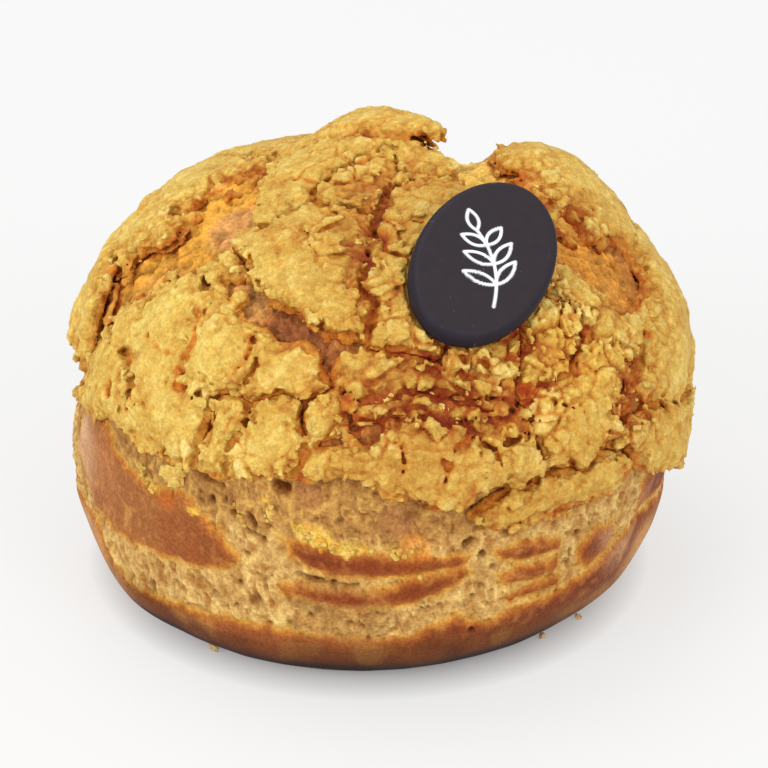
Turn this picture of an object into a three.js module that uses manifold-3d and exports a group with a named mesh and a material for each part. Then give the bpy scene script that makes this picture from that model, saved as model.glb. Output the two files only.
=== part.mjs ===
// Choux bun with a craquelin crust and an oval chocolate plaque.
// Millimetres, +Z up. The bun stands on its flat foot; bearing 0 is the front (-Y) and grows to
// the right (+X), tilt is measured down from straight up, both in degrees about the bun's heart.
import * as THREE from 'three';
import { mergeVertices } from 'three/addons/utils/BufferGeometryUtils.js';
import Module from 'manifold-3d';

const wasm = await Module();
wasm.setup();

// ---- driving dimensions ----
const HEART_HEIGHT = 21;            // height of the bun's widest level above its foot
const GIRTH_RADIUS = 38;            // choux radius at that level
const DOME_HEIGHT = 31.5;           // heart to the top of the choux
const DOME_FULLNESS = 2.2;          // superellipse power of the upper half
const BELLY_DEPTH = 24.5;           // heart to where the lower half would close
const BELLY_FULLNESS = 3.5;         // superellipse power of the lower half
const FOOT_LEAN = 2.4;              // how far the foot sits to the left of the dome
const CRUST_GAP = 0.32;             // clearance between choux and crust
const CRUST_THICKNESS = 1.9;        // craquelin thickness
const BODY_DETAIL = 9;              // facets along each icosahedron edge of the body, less one
const HEM_STEP = 8;                 // degrees of bearing per facet of the cut along the hem
const CUT_FROM = 20;                // cutters reach from inside the choux
const CUT_TO = 60;                  // to well outside the crust
const HEART = new THREE.Vector3(0, 0, HEART_HEIGHT);
const CHOUX_COLOR = 0xb87a45;
const CRAQUELIN_COLOR = 0xd3a04a;
const CHOCOLATE_COLOR = 0x443e42;

// swellings and hollows of the choux: [bearing, tilt, height, spread in degrees]
const SWELLINGS = [
  [180, 16, 5.0, 10],
  [-152, 30, -2.2, 11],
  [124, 34, 3.2, 11],
  [108, 46, 1.0, 7],
  [110, 24, -2.4, 6],
  [142, 26, -3.2, 8.5],
  [160, 46, -5.5, 11],
  [-135, 55, 1.6, 22],
  [-95, 62, 0.5, 9],
  [-86, 79, -1.8, 6],
  [-86, 91, 1.9, 9],
  [94, 68, 0.5, 13],
  [66, 98, -0.9, 9],
  [95, 96, -1.6, 12],
];

// the crust's lower edge: [bearing, tilt], going round from the back
const HEM = [
  [-180, 82], [-165, 86], [-150, 80], [-138, 76], [-124, 82], [-110, 80], [-98, 84], [-84, 80],
  [-70, 82], [-62, 77], [-50, 77], [-40, 78], [-30, 77], [-17, 75], [-8, 74], [1, 75], [5, 79],
  [14, 80], [16, 85], [24, 86], [34, 84], [46, 85], [52, 82], [57, 88], [69, 90], [76, 84],
  [90, 85], [104, 79], [118, 84], [132, 80], [146, 77], [160, 84], [180, 82],
];

// places where the crust has pulled away and the choux shows: outlines of [bearing, tilt]
const BARE_PLACES = [
  // valley between the left rim and the crown
  [[-114, 24], [-98, 34], [-90, 40], [-78, 43], [-72, 47], [-78, 52], [-86, 58], [-78, 62],
    [-70, 59], [-62, 51], [-57, 45], [-55, 39], [-60, 31], [-78, 26], [-96, 24]],
  // split under the crown
  [[-47, 42], [-36, 42], [-32, 46], [-24, 48], [-15, 49], [-7, 49], [-2, 50], [-6, 53],
    [-10, 53.5], [-10, 60], [-14, 58], [-16, 53.5], [-26, 51.5], [-34, 48.5], [-46, 47.5]],
  // cleft right of the crown
  [[74, 16], [90, 15], [104, 14.5], [118, 12], [132, 15.5], [150, 18], [168, 23], [174, 33],
    [166, 41], [152, 43], [138, 38], [126, 30], [112, 27.5], [103, 30], [95, 31], [87, 34], [74, 35],
    [62, 28], [60, 20]],
  // smooth shoulder on the right
  [[64, 36], [76, 36.5], [88, 38], [84, 42], [78, 45], [86, 48], [90, 54], [84, 60],
    [70, 61], [61, 59], [60, 52], [60, 46], [55, 43]],
  // hollow low on the right
  [[57, 63], [62, 65], [62, 68], [57, 70], [60, 72], [57, 76], [52, 75.5], [47.5, 76],
    [46.5, 70.5], [50, 68], [53, 65.5]],
  // hollow below the plaque
  [[24, 59.5], [29, 59.5], [31, 62], [29, 66.5], [24, 66.5]],
  // gap under the left rim's squared end
  [[-98, 74], [-82, 74], [-75, 72], [-72, 75], [-77, 80], [-84, 82], [-98, 81]],
  // gap above the right rim's squared end
  [[68, 78], [76, 76.5], [84, 78], [84, 81.5], [74, 81.5]],
  // bare window at the back
  [[156, 46], [172, 42], [-174, 47], [-170, 56], [178, 60], [164, 56]],
];

// cracks through the crust: points of [bearing, tilt, width in mm]
const CRACKS = [
  // down the middle of the crown
  [[76, 17, 1.2], [60, 11.5, 1.4], [32, 8, 1.6], [6, 11, 1.4], [-3, 20, 1.4], [-8, 29, 2.0],
    [-4, 34, 1.4], [-8, 39, 1.8], [-2, 43, 1.2], [-4, 50, 1.4]],
  // round the little cap on the crown
  [[-3, 20, 1.0], [-28, 18.5, 1.6], [-45, 20, 1.8], [-62, 17, 1.2], [-66, 11, 0.8],
    [-90, 5, 0.8], [150, 3, 0.8], [34, 8, 0.8]],
  // from the cap down the crown's left
  [[-47, 20, 0.9], [-54, 27, 1.4], [-51, 30, 1.0], [-62, 34, 1.2]],
  // behind the crown
  [[-108, 26, 0.9], [-124, 18, 0.8], [-150, 9, 1.0], [180, 5, 1.2], [150, 5.2, 1.0],
    [130, 8.4, 1.2], [115, 11, 1.4], [108, 16, 1.4]],
  // round the chip between the valley and the crown
  [[-57, 38, 1.0], [-48, 39.5, 1.0], [-42, 41.5, 2.4]],
  [[-60, 46, 1.2], [-52, 47, 1.6], [-43, 46.5, 2.0]],
  // beneath the plaque
  [[15, 51, 1.0], [31, 38, 1.0], [66, 27, 1.0]],
  [[31, 38, 1.0], [46, 41, 1.0]],
  [[65, 26, 1.2], [64, 33, 1.4], [66, 38, 1.6]],
  // below the plaque, upper arc
  [[-5, 51.5, 1.6], [0, 51.7, 1.4], [8, 53, 1.2], [12.5, 54.7, 1.2], [14, 57.5, 1.2],
    [19, 57.6, 1.4], [25, 60.5, 1.4]],
  [[12.3, 55, 1.0], [15, 50, 1.0]],
  // below the plaque, lower arc
  [[-10, 58, 1.4], [-6, 61.5, 1.6], [0, 60.4, 0.8], [5, 60.2, 1.4], [8, 59.3, 1.6],
    [12, 61, 2.4], [18.5, 61.6, 2.6], [25, 63, 1.4]],
  // crumb-filled hole and the crack that leaves it to the right
  [[-15, 70, 1.0], [-9, 68.4, 2.0], [-4, 67.2, 3.4], [-1.5, 66, 2.2], [1, 63.6, 1.2],
    [5, 64.4, 0.9], [10, 64.3, 1.0], [15, 65.4, 1.4], [20, 66, 1.0], [26, 66, 1.2]],
  [[-7, 61, 2.2], [-6, 67, 3.0]],
  // front centre, from that crack to the right
  [[16, 65.6, 1.2], [16, 68.4, 1.0], [20, 70.6, 0.8], [28.4, 69.5, 0.8], [29.3, 77.5, 1.6]],
  [[28.4, 70, 0.8], [28.6, 65, 1.2]],
  // between the front centre and the low strip
  [[12, 84, 1.0], [14.5, 81, 1.6], [17, 79.4, 2.4], [21, 78.4, 2.8], [27, 78, 2.2],
    [29.3, 77, 1.8], [35.5, 77.6, 0.9], [37, 79, 0.9], [42, 76.8, 1.2], [50, 79.4, 1.6],
    [53, 85, 2.0]],
  // front left, reaching the hem
  [[-15.5, 61.5, 0.9], [-16.4, 65, 1.0], [-14.5, 69, 1.4], [-16, 78, 1.4]],
  [[-15.5, 62, 0.9], [-10, 58.5, 0.9]],
  [[-27.3, 63.5, 1.4], [-26.7, 67, 1.6], [-28.5, 71, 1.2], [-29, 80, 0.8]],
  [[-36, 64.5, 1.6], [-34.7, 68, 2.0], [-35.4, 72, 1.8], [-36, 81, 0.9]],
  [[-46, 46, 1.0], [-47, 53, 1.8], [-46, 59, 1.4], [-44.6, 64.6, 1.4], [-40, 65.4, 1.8],
    [-36, 64.8, 1.8], [-30, 62.8, 1.8], [-27.3, 64, 1.2], [-21, 61, 0.9], [-15.5, 62, 0.9]],
  [[-31, 49, 1.2], [-30, 54.5, 1.4], [-28, 57, 1.2], [-30, 63, 1.0]],
  // crevice behind the front left plates
  [[-74, 58, 1.4], [-75, 66, 2.4], [-74, 72, 2.2]],
  [[-76, 63, 1.2], [-66, 66, 1.2], [-58, 66, 1.6], [-55, 72, 2.2], [-52, 80, 1.4]],
  // low on the left
  [[-94, 77, 1.6], [-110, 74, 1.2], [-126, 76, 1.2]],
  [[-80, 78, 1.2], [-78, 90, 1.2]],
  // right front
  [[44, 40, 1.2], [45, 47.5, 1.2], [49.5, 51.5, 1.2], [48, 57, 2.8], [41, 60.8, 1.8],
    [36, 62.6, 1.4], [29, 63, 1.4]],
  [[48, 56, 1.4], [55, 61, 1.0], [59, 66, 1.4]],
  [[37, 38.5, 1.0], [34, 50, 1.2], [32, 55, 1.0], [28, 60.5, 1.2]],
  [[49, 74.5, 1.4], [42, 77.3, 1.2]],
  // right rim
  [[68, 57, 1.2], [67, 63.5, 2.2], [59, 66, 1.4]],
  [[76, 52, 1.0], [88, 55, 1.0], [104, 56, 1.0], [130, 58, 1.2]],
  [[57, 73.5, 1.2], [66, 77.5, 1.2], [70, 79.5, 1.4]],
  [[80, 80, 1.2], [79, 92, 1.2]],
  // back
  [[134, 33, 1.4], [131, 46, 1.2], [128, 60, 1.6], [134, 86, 1.2]],
  [[-112, 24, 1.2], [-122, 32, 1.2], [-130, 42, 1.4], [-122, 60, 1.2], [-128, 88, 1.2]],
  [[165, 52, 1.2], [148, 55, 1.2], [127, 52, 1.2]],
  [[-172, 53, 1.2], [-152, 60, 1.4], [-121, 58, 1.2]],
  [[172, 56, 1.2], [175, 72, 1.4], [169, 90, 1.2]],
  [[-172, 50, 1.0], [-166, 36, 1.2], [-124, 33, 1.2]],
  [[172, 44, 1.0], [168, 38, 1.2]],
];

// one direction inside each crust piece: [bearing, tilt]
const CRUST_PIECES = {
  craquelin_crown_cap: [-30, 12],
  craquelin_crown_left: [-85, 14],
  craquelin_crown_front: [-26, 35],
  craquelin_crown_right: [8, 38],
  craquelin_crown_back: [180, 16],
  craquelin_left_rim: [-101, 56],
  craquelin_valley_chip: [-52, 43],
  craquelin_right_shoulder: [92, 42],
  craquelin_right_rim: [96, 69],
  craquelin_right_rim_end: [63, 82],
  craquelin_front_left: [-54, 63],
  craquelin_front_left_edge: [-67, 74],
  craquelin_front_left_upper: [-38, 56],
  craquelin_front_left_inner: [-22, 57],
  craquelin_front_left_finger: [-31, 71],
  craquelin_front_left_block: [-22, 70],
  craquelin_front_left_wedge: [-12, 64],
  craquelin_centre_upper: [2, 56],
  craquelin_centre_sliver: [8, 62.5],
  craquelin_front_centre: [8, 73],
  craquelin_front_centre_chip: [22, 68],
  craquelin_below_plaque: [22, 55],
  craquelin_beside_plaque: [38, 53],
  craquelin_right_front_upper: [52, 52],
  craquelin_right_front: [41, 68],
  craquelin_front_strip: [33, 82],
  craquelin_left_hem: [-101, 80],
  craquelin_back_left: [-157, 72],
  craquelin_back_right: [151, 69],
  craquelin_back_left_upper: [-147, 47],
  craquelin_back_right_upper: [145, 49],
};

// curled-up edges of single crust pieces: [bearing, tilt, rise, spread in degrees]
const CURLS = {
  craquelin_left_rim: [[-86, 71, 1.9, 8], [-74, 46, 1.2, 7]],
  craquelin_crown_back: [[120, 12, 2.6, 5]],
  craquelin_crown_front: [[-18, 46, 0.9, 8], [-44, 38, 0.8, 6]],
  craquelin_front_centre: [[10, 79, 0.8, 8], [24, 76, 0.7, 6]],
  craquelin_right_shoulder: [[112, 27, 1.2, 7], [76, 36, 0.6, 5]],
  craquelin_right_rim_end: [[66, 87, 1.0, 7]],
  craquelin_front_strip: [[16, 84, 0.6, 5]],
};

// oval plaque
const PLAQUE_LENGTH = 24.2;
const PLAQUE_WIDTH = 16.3;
const PLAQUE_THICKNESS = 3.0;
const PLAQUE_EDGE_RADIUS = 1.2;
const PLAQUE_PLACE = [30.4, 37.8];  // bearing and tilt of its centre from the heart
const PLAQUE_RADIUS = 37.4;         // heart to the middle of its thickness
const PLAQUE_FACING = [21, 32];     // bearing and tilt of its face
const PLAQUE_TURN = 43;             // its long axis, from uphill toward the right, about its face
const PLAQUE_GAP = 0.3;             // clearance to the crust it rests in

// ---- shapes ----
function direction(bearing, tilt) {
  const b = THREE.MathUtils.degToRad(bearing);
  const t = THREE.MathUtils.degToRad(tilt);
  return new THREE.Vector3(Math.sin(t) * Math.sin(b), -Math.sin(t) * Math.cos(b), Math.cos(t));
}

function bump(d, list) {
  let sum = 0;
  for (const [bearing, tilt, height, spread] of list) {
    const angle = THREE.MathUtils.radToDeg(d.angleTo(direction(bearing, tilt)));
    sum += height * Math.exp(-0.5 * (angle / spread) ** 2);
  }
  return sum;
}

function chouxRadius(d) {
  const side = Math.hypot(d.x, d.y);
  const upper = d.z >= 0;
  const depth = upper ? DOME_HEIGHT : BELLY_DEPTH;
  const power = upper ? DOME_FULLNESS : BELLY_FULLNESS;
  const sum = (side / GIRTH_RADIUS) ** power + (Math.abs(d.z) / depth) ** power;
  const lean = FOOT_LEAN * d.x * Math.min(Math.max(-d.z / 0.55, 0), 1);
  return sum ** (-1 / power) - lean + bump(d, SWELLINGS);
}

function hemTilt(bearing) {
  for (let i = 1; i < HEM.length; i++) {
    const [b0, t0] = HEM[i - 1];
    const [b1, t1] = HEM[i];
    if (bearing <= b1) {
      return t0 + (t1 - t0) * (bearing - b0) / (b1 - b0);
    }
  }
  return HEM[0][1];
}

function solidFrom(positions, faces) {
  const geometry = new THREE.BufferGeometry();
  geometry.setAttribute('position', new THREE.Float32BufferAttribute(positions, 3));
  geometry.setIndex(faces);
  return toSolid(geometry);
}

function withMergedPoints(source) {
  const bare = source.clone();
  bare.deleteAttribute('normal');
  bare.deleteAttribute('uv');
  return mergeVertices(bare, 1e-5);
}

function toSolid(source) {
  const geometry = withMergedPoints(source);
  const vertProperties = new Float32Array(geometry.attributes.position.array);
  const triVerts = new Uint32Array(geometry.index.array);
  return new wasm.Manifold(new wasm.Mesh({ numProp: 3, vertProperties, triVerts }));
}

// closed rounded body about the heart: radiusAt gives its reach in every direction
function wholeBody(radiusAt) {
  const geometry = new THREE.IcosahedronGeometry(1, BODY_DETAIL);
  const position = geometry.attributes.position;
  for (let i = 0; i < position.count; i++) {
    const d = new THREE.Vector3().fromBufferAttribute(position, i).normalize();
    const point = HEART.clone().addScaledVector(d, radiusAt(d));
    position.setXYZ(i, point.x, point.y, point.z);
  }
  return toSolid(geometry);
}

// everything below the hem: a fan out from the heart, closed far below
function belowHem() {
  const positions = [...HEART.toArray(), 0, 0, -80];
  const faces = [];
  const across = 360 / HEM_STEP;
  for (let column = 0; column < across; column++) {
    const bearing = -180 + column * HEM_STEP;
    const d = direction(bearing, hemTilt(bearing));
    positions.push(...HEART.clone().addScaledVector(d, CUT_TO).toArray());
    const next = (column + 1) % across;
    faces.push(0, column + 2, next + 2, 1, next + 2, column + 2);
  }
  return solidFrom(positions, faces);
}

// straight-sided cutter through the crust along an outline of directions
function patchCutter(outline) {
  const middle = new THREE.Vector3();
  for (const d of outline) {
    middle.add(d);
  }
  middle.normalize();
  const right = new THREE.Vector3(0, 0, 1).cross(middle).normalize();
  const up = middle.clone().cross(right);
  const points = outline.map((d) => {
    return new THREE.Vector2(d.dot(right), d.dot(up)).divideScalar(d.dot(middle));
  });
  const flat = new THREE.Shape(points);
  const geometry = new THREE.ExtrudeGeometry(flat, { depth: 1, bevelEnabled: false });
  const position = geometry.attributes.position;
  for (let i = 0; i < position.count; i++) {
    const d = middle.clone().addScaledVector(right, position.getX(i));
    d.addScaledVector(up, position.getY(i)).normalize();
    const reach = position.getZ(i) > 0.5 ? CUT_TO : CUT_FROM;
    const point = HEART.clone().addScaledVector(d, reach);
    position.setXYZ(i, point.x, point.y, point.z);
  }
  return toSolid(geometry);
}

// outline of a crack: its points widened to both sides
function crackOutline(crack) {
  const places = crack.map(([bearing, tilt]) => direction(bearing, tilt));
  const left = [];
  const right = [];
  crack.forEach(([, , width], i) => {
    const before = places[Math.max(i - 1, 0)];
    const after = places[Math.min(i + 1, places.length - 1)];
    const aside = after.clone().sub(before).cross(places[i]).normalize();
    const half = width / 2 / GIRTH_RADIUS;
    left.push(places[i].clone().addScaledVector(aside, half));
    right.push(places[i].clone().addScaledVector(aside, -half));
  });
  return [...left, ...right.reverse()];
}

// tablet with a rounded edge, centred on its own middle, long axis along X
function plaqueShape(extra) {
  const half = PLAQUE_THICKNESS / 2 + extra;
  const rim = PLAQUE_LENGTH / 2 + extra;
  const round = PLAQUE_EDGE_RADIUS + extra;
  const profile = [new THREE.Vector2(0, -half)];
  for (let i = -3; i <= 3; i++) {
    const turn = i * Math.PI / 6;
    const level = Math.sign(i) * (half - round);
    profile.push(new THREE.Vector2(rim - round + round * Math.cos(turn), level + round * Math.sin(turn)));
  }
  profile.push(new THREE.Vector2(0, half));
  const geometry = new THREE.LatheGeometry(profile, 40);
  geometry.rotateX(Math.PI / 2);
  geometry.scale(1, (PLAQUE_WIDTH / 2 + extra) / rim, 1);
  return geometry;
}

function placePlaque(object) {
  const face = direction(...PLAQUE_FACING);
  const right = new THREE.Vector3(0, 0, 1).cross(face).normalize();
  const up = face.clone().cross(right);
  const turn = THREE.MathUtils.degToRad(PLAQUE_TURN);
  const long = up.clone().multiplyScalar(Math.cos(turn)).addScaledVector(right, Math.sin(turn));
  const short = face.clone().cross(long);
  object.quaternion.setFromRotationMatrix(new THREE.Matrix4().makeBasis(long, short, face));
  object.position.copy(HEART).addScaledVector(direction(...PLAQUE_PLACE), PLAQUE_RADIUS);
  object.updateMatrix();
}

// separate bodies of one solid, each as its own geometry
function separateBodies(solid) {
  const mesh = solid.getMesh();
  const parent = Array.from({ length: mesh.numVert }, (_, i) => i);
  const root = (i) => {
    while (parent[i] !== i) {
      parent[i] = parent[parent[i]];
      i = parent[i];
    }
    return i;
  };
  for (let i = 0; i < mesh.mergeFromVert.length; i++) {
    parent[root(mesh.mergeFromVert[i])] = root(mesh.mergeToVert[i]);
  }
  const triangles = mesh.triVerts;
  for (let i = 0; i < triangles.length; i += 3) {
    parent[root(triangles[i])] = root(triangles[i + 1]);
    parent[root(triangles[i + 1])] = root(triangles[i + 2]);
  }
  const bodies = new Map();
  for (let i = 0; i < triangles.length; i += 3) {
    const key = root(triangles[i]);
    if (!bodies.has(key)) {
      bodies.set(key, []);
    }
    for (let corner = 0; corner < 3; corner++) {
      const at = triangles[i + corner] * mesh.numProp;
      bodies.get(key).push(...mesh.vertProperties.subarray(at, at + 3));
    }
  }
  return [...bodies.values()].map((positions) => {
    const geometry = new THREE.BufferGeometry();
    geometry.setAttribute('position', new THREE.Float32BufferAttribute(positions, 3));
    return mergeVertices(geometry, 1e-5);
  });
}

function curlUp(geometry, list) {
  const position = geometry.attributes.position;
  for (let i = 0; i < position.count; i++) {
    const point = new THREE.Vector3().fromBufferAttribute(position, i);
    const d = point.clone().sub(HEART).normalize();
    point.addScaledVector(d, bump(d, list));
    position.setXYZ(i, point.x, point.y, point.z);
  }
}

function food(name, color, roughness) {
  const material = new THREE.MeshStandardMaterial({ color, roughness, metalness: 0 });
  const piece = new THREE.Mesh(undefined, material);
  piece.name = name;
  return piece;
}

// the puffed choux, cut flat where it stands
function makeChoux() {
  const below = new THREE.BoxGeometry(200, 200, 60);
  below.translate(0, 0, -30);
  const choux = food('choux', CHOUX_COLOR, 0.62);
  choux.geometry = separateBodies(wholeBody(chouxRadius).subtract(toSolid(below)))[0];
  return choux;
}

function makePlaque() {
  const plaque = food('chocolate_plaque', CHOCOLATE_COLOR, 0.5);
  plaque.geometry = withMergedPoints(plaqueShape(0));
  placePlaque(plaque);
  return plaque;
}

// the crust is one even layer that cracked as the choux rose
function makeCrust(plaqueMatrix) {
  const underside = wholeBody((d) => chouxRadius(d) + CRUST_GAP);
  const topside = wholeBody((d) => chouxRadius(d) + CRUST_GAP + CRUST_THICKNESS);
  const seat = plaqueShape(PLAQUE_GAP).applyMatrix4(plaqueMatrix);
  let crust = topside.subtract(underside).subtract(belowHem()).subtract(toSolid(seat));
  for (const outline of BARE_PLACES) {
    crust = crust.subtract(patchCutter(outline.map((place) => direction(...place))));
  }
  for (const crack of CRACKS) {
    crust = crust.subtract(patchCutter(crackOutline(crack)));
  }
  const bodies = separateBodies(crust).map((geometry) => new THREE.Mesh(geometry));
  return Object.entries(CRUST_PIECES).map(([name, place]) => {
    const d = direction(...place);
    const ray = new THREE.Raycaster(HEART.clone().addScaledVector(d, 80), d.clone().negate());
    const piece = food(name, CRAQUELIN_COLOR, 0.85);
    piece.geometry = ray.intersectObjects(bodies)[0].object.geometry;
    curlUp(piece.geometry, CURLS[name] ?? []);
    return piece;
  });
}

// ---- assembly: origin at the middle of the footprint, on the ground ----
const bun = new THREE.Group();
const plaque = makePlaque();
bun.add(makeChoux(), plaque, ...makeCrust(plaque.matrix));
const box = new THREE.Box3().setFromObject(bun);
const middle = box.getCenter(new THREE.Vector3());
bun.position.set(-middle.x, -middle.y, -box.min.z);

export default bun;
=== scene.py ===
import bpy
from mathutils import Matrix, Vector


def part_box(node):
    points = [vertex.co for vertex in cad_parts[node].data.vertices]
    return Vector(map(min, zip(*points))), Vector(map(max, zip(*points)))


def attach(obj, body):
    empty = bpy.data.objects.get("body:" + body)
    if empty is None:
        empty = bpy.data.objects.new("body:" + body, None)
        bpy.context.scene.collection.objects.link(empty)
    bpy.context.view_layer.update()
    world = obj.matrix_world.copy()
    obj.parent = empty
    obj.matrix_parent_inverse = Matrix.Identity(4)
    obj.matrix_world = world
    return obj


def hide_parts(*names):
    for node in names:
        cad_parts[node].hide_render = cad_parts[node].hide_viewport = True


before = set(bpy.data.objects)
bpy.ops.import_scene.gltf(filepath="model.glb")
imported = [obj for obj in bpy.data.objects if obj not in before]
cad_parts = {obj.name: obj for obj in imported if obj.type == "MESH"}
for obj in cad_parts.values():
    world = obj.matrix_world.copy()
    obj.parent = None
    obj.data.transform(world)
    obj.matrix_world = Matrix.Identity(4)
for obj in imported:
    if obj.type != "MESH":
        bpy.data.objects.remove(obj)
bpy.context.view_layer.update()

import math

import bpy
import numpy as np
import openvdb
from mathutils import Vector
from mathutils.bvhtree import BVHTree

# Choux bun with a cracked craquelin crust and an oval chocolate plaque.
# Lengths are millimetres until a mesh is made. Bearing 0 is the front and grows to the right,
# tilt is measured down from straight up, both in degrees about the bun's heart.

MM = 0.001
TO_MM = 1000.0
HEART = np.array([0.400, -0.062, 21.0], np.float32)
# radius of the bun, and the length of one degree on it
GIRTH = 38.0
DEGREE = math.radians(1.0) * GIRTH
# rays are cast inward from this far out, and reach this far in
CAST_START = 70.0
CAST_REACH = 60.0
# the crust's underside lies this far over the choux's even surface
CRUST_GAP = 0.32
CRUST_THICKNESS = 1.9


def direction(bearing, tilt):
    """Unit vectors from bearings and tilts in degrees."""
    b = np.radians(np.asarray(bearing, np.float32))
    t = np.radians(np.asarray(tilt, np.float32))
    return np.stack([np.sin(t) * np.sin(b), -np.sin(t) * np.cos(b), np.cos(t)], -1)


def bearing_of(d):
    return np.degrees(np.arctan2(d[..., 0], -d[..., 1]))


def tilt_of(d):
    return np.degrees(np.arccos(np.clip(d[..., 2], -1.0, 1.0)))


def angle_from(d, bearing, tilt):
    """Degrees between each direction and the one at this bearing and tilt."""
    return np.degrees(np.arccos(np.clip(d @ direction(bearing, tilt), -1.0, 1.0)))


def from_heart(points):
    """Distance and direction of each point from the bun's heart."""
    reach = points - HEART
    radius = np.sqrt(np.einsum("ij,ij->i", reach, reach))
    return radius, reach / radius[:, None]


def smoothstep(low, high, value):
    part = np.clip((value - low) / (high - low), 0.0, 1.0)
    return part * part * (3.0 - 2.0 * part)


def smooth_min(a, b, reach):
    """The lower of two fields, rounded where they meet."""
    share = np.clip(0.5 + 0.5 * (b - a) / reach, 0.0, 1.0)
    return b + (a - b) * share - reach * share * (1.0 - share)


# ---- seeded noise ----
LATTICE = 64
TABLE = np.random.RandomState(11).uniform(-1, 1, LATTICE ** 3).astype(np.float32)
JITTER = np.random.RandomState(12).uniform(0.08, 0.92, (LATTICE ** 3, 3)).astype(np.float32)


def lattice_index(x, y, z):
    wrap = LATTICE - 1
    return (((x & wrap) * LATTICE) + (y & wrap)) * LATTICE + (z & wrap)


def noise(points, size, seed):
    """Smooth noise from about -1 to 1 whose bumps are about `size` wide."""
    q = points / np.float32(size) + np.float32(13.7 * seed + 29.0)
    base = np.floor(q)
    part = q - base
    part = part * part * (3.0 - 2.0 * part)
    x, y, z = (base[:, k].astype(np.int32) for k in range(3))
    total = np.zeros(len(points), np.float32)
    for corner in range(8):
        dx, dy, dz = corner & 1, corner >> 1 & 1, corner >> 2
        weight = part[:, 0] if dx else 1.0 - part[:, 0]
        weight = weight * (part[:, 1] if dy else 1.0 - part[:, 1])
        weight = weight * (part[:, 2] if dz else 1.0 - part[:, 2])
        total += weight * TABLE[lattice_index(x + dx, y + dy, z + dz)]
    return total


def lobes(points, size, seed):
    """Rounded lobes with sharp creases between them, from -0.7 to about 1."""
    return 2.2 * np.abs(noise(points, size, seed)) - 0.7


def bend(points, amount, size, seeds):
    """Points pushed about by one noise for each axis, so that a pattern on them isn't straight."""
    return points + amount * np.stack([noise(points, size, seed) for seed in seeds], -1)


def cells(points, size, seed):
    """Jittered cells: distance from the cell's border, and a number from 0 to 1 for each cell."""
    q = points / np.float32(size) + np.float32(7.3 * seed + 31.0)
    base = np.floor(q).astype(np.int32)
    part = q - base
    first = np.full(len(points), 9.0, np.float32)
    second = first.copy()
    owner = np.zeros(len(points), np.int32)
    for dx in (-1, 0, 1):
        for dy in (-1, 0, 1):
            for dz in (-1, 0, 1):
                index = lattice_index(base[:, 0] + dx, base[:, 1] + dy, base[:, 2] + dz)
                offset = JITTER[index]
                offset[:, 0] += dx - part[:, 0]
                offset[:, 1] += dy - part[:, 1]
                offset[:, 2] += dz - part[:, 2]
                far = np.sqrt(np.einsum("ij,ij->i", offset, offset))
                closer = far < first
                second = np.where(closer, first, np.minimum(second, far))
                owner = np.where(closer, index, owner)
                first = np.where(closer, far, first)
    return (second - first) * np.float32(0.5 * size), TABLE[owner] * 0.5 + 0.5


# ---- chart of directions: tilt is the distance from its middle ----
# degrees in a cell, and cells from the middle to the border
CHART_STEP = 0.3
CHART_HALF = 330
CHART_SIZE = 2 * CHART_HALF + 1


def chart_place(d, step=CHART_STEP, half=CHART_HALF):
    """Column and row of each direction, with fractions."""
    tilt = tilt_of(d)
    across = np.maximum(np.hypot(d[..., 0], d[..., 1]), 1e-9)
    return half + tilt * d[..., 0] / across / step, half + tilt * d[..., 1] / across / step


def chart_cell(place):
    """Row and column of the cell nearest to each place, to index the fine chart with."""
    return tuple(np.clip(np.rint(place[k]), 0, CHART_SIZE - 1).astype(np.int32) for k in (1, 0))


def chart_directions(step, half):
    """Direction and tilt of every cell."""
    v, u = np.mgrid[-half:half + 1, -half:half + 1].astype(np.float32) * step
    tilt = np.hypot(u, v)
    return direction(np.degrees(np.arctan2(u, -v)), tilt), tilt


def look_up(table, place):
    """Value of a chart at each place, blended from the four cells around it."""
    column = np.clip(place[0], 0, table.shape[1] - 1.001)
    row = np.clip(place[1], 0, table.shape[0] - 1.001)
    c = column.astype(np.int32)
    r = row.astype(np.int32)
    fc = (column - c).astype(np.float32)
    fr = (row - r).astype(np.float32)
    top = table[r, c] * (1 - fc) + table[r, c + 1] * fc
    low = table[r + 1, c] * (1 - fc) + table[r + 1, c + 1] * fc
    return top * (1 - fr) + low * fr


def blur(table, sigma, weight=None):
    """Gaussian blur, counting only the cells with weight."""
    reach = int(math.ceil(sigma * 2.5))
    kernel = np.exp(-0.5 * (np.arange(-reach, reach + 1) / sigma) ** 2)
    weight = np.ones_like(table) if weight is None else weight.astype(np.float32)
    sums = []
    for layer in (table * weight, weight):
        for axis in (0, 1):
            padded = np.moveaxis(layer, axis, 0)
            out = np.zeros_like(padded)
            for k, share in zip(range(-reach, reach + 1), kernel):
                lo, hi = max(0, -k), min(len(padded), len(padded) - k)
                out[lo:hi] += padded[lo + k:hi + k] * share
            layer = np.moveaxis(out, 0, axis)
        sums.append(layer)
    return sums[0] / np.maximum(sums[1], 1e-6)


def tree_of(names):
    """Search tree over the frame's nodes, and the number of the node that owns each face."""
    points, faces, owner = [], [], []
    for number, name in enumerate(names):
        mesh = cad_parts[name].data
        start = len(points)
        points += [Vector(v.co) * TO_MM for v in mesh.vertices]
        for face in mesh.polygons:
            faces.append([start + i for i in face.vertices])
            owner.append(number)
    return BVHTree.FromPolygons(points, faces), np.array(owner + [-1])


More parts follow.
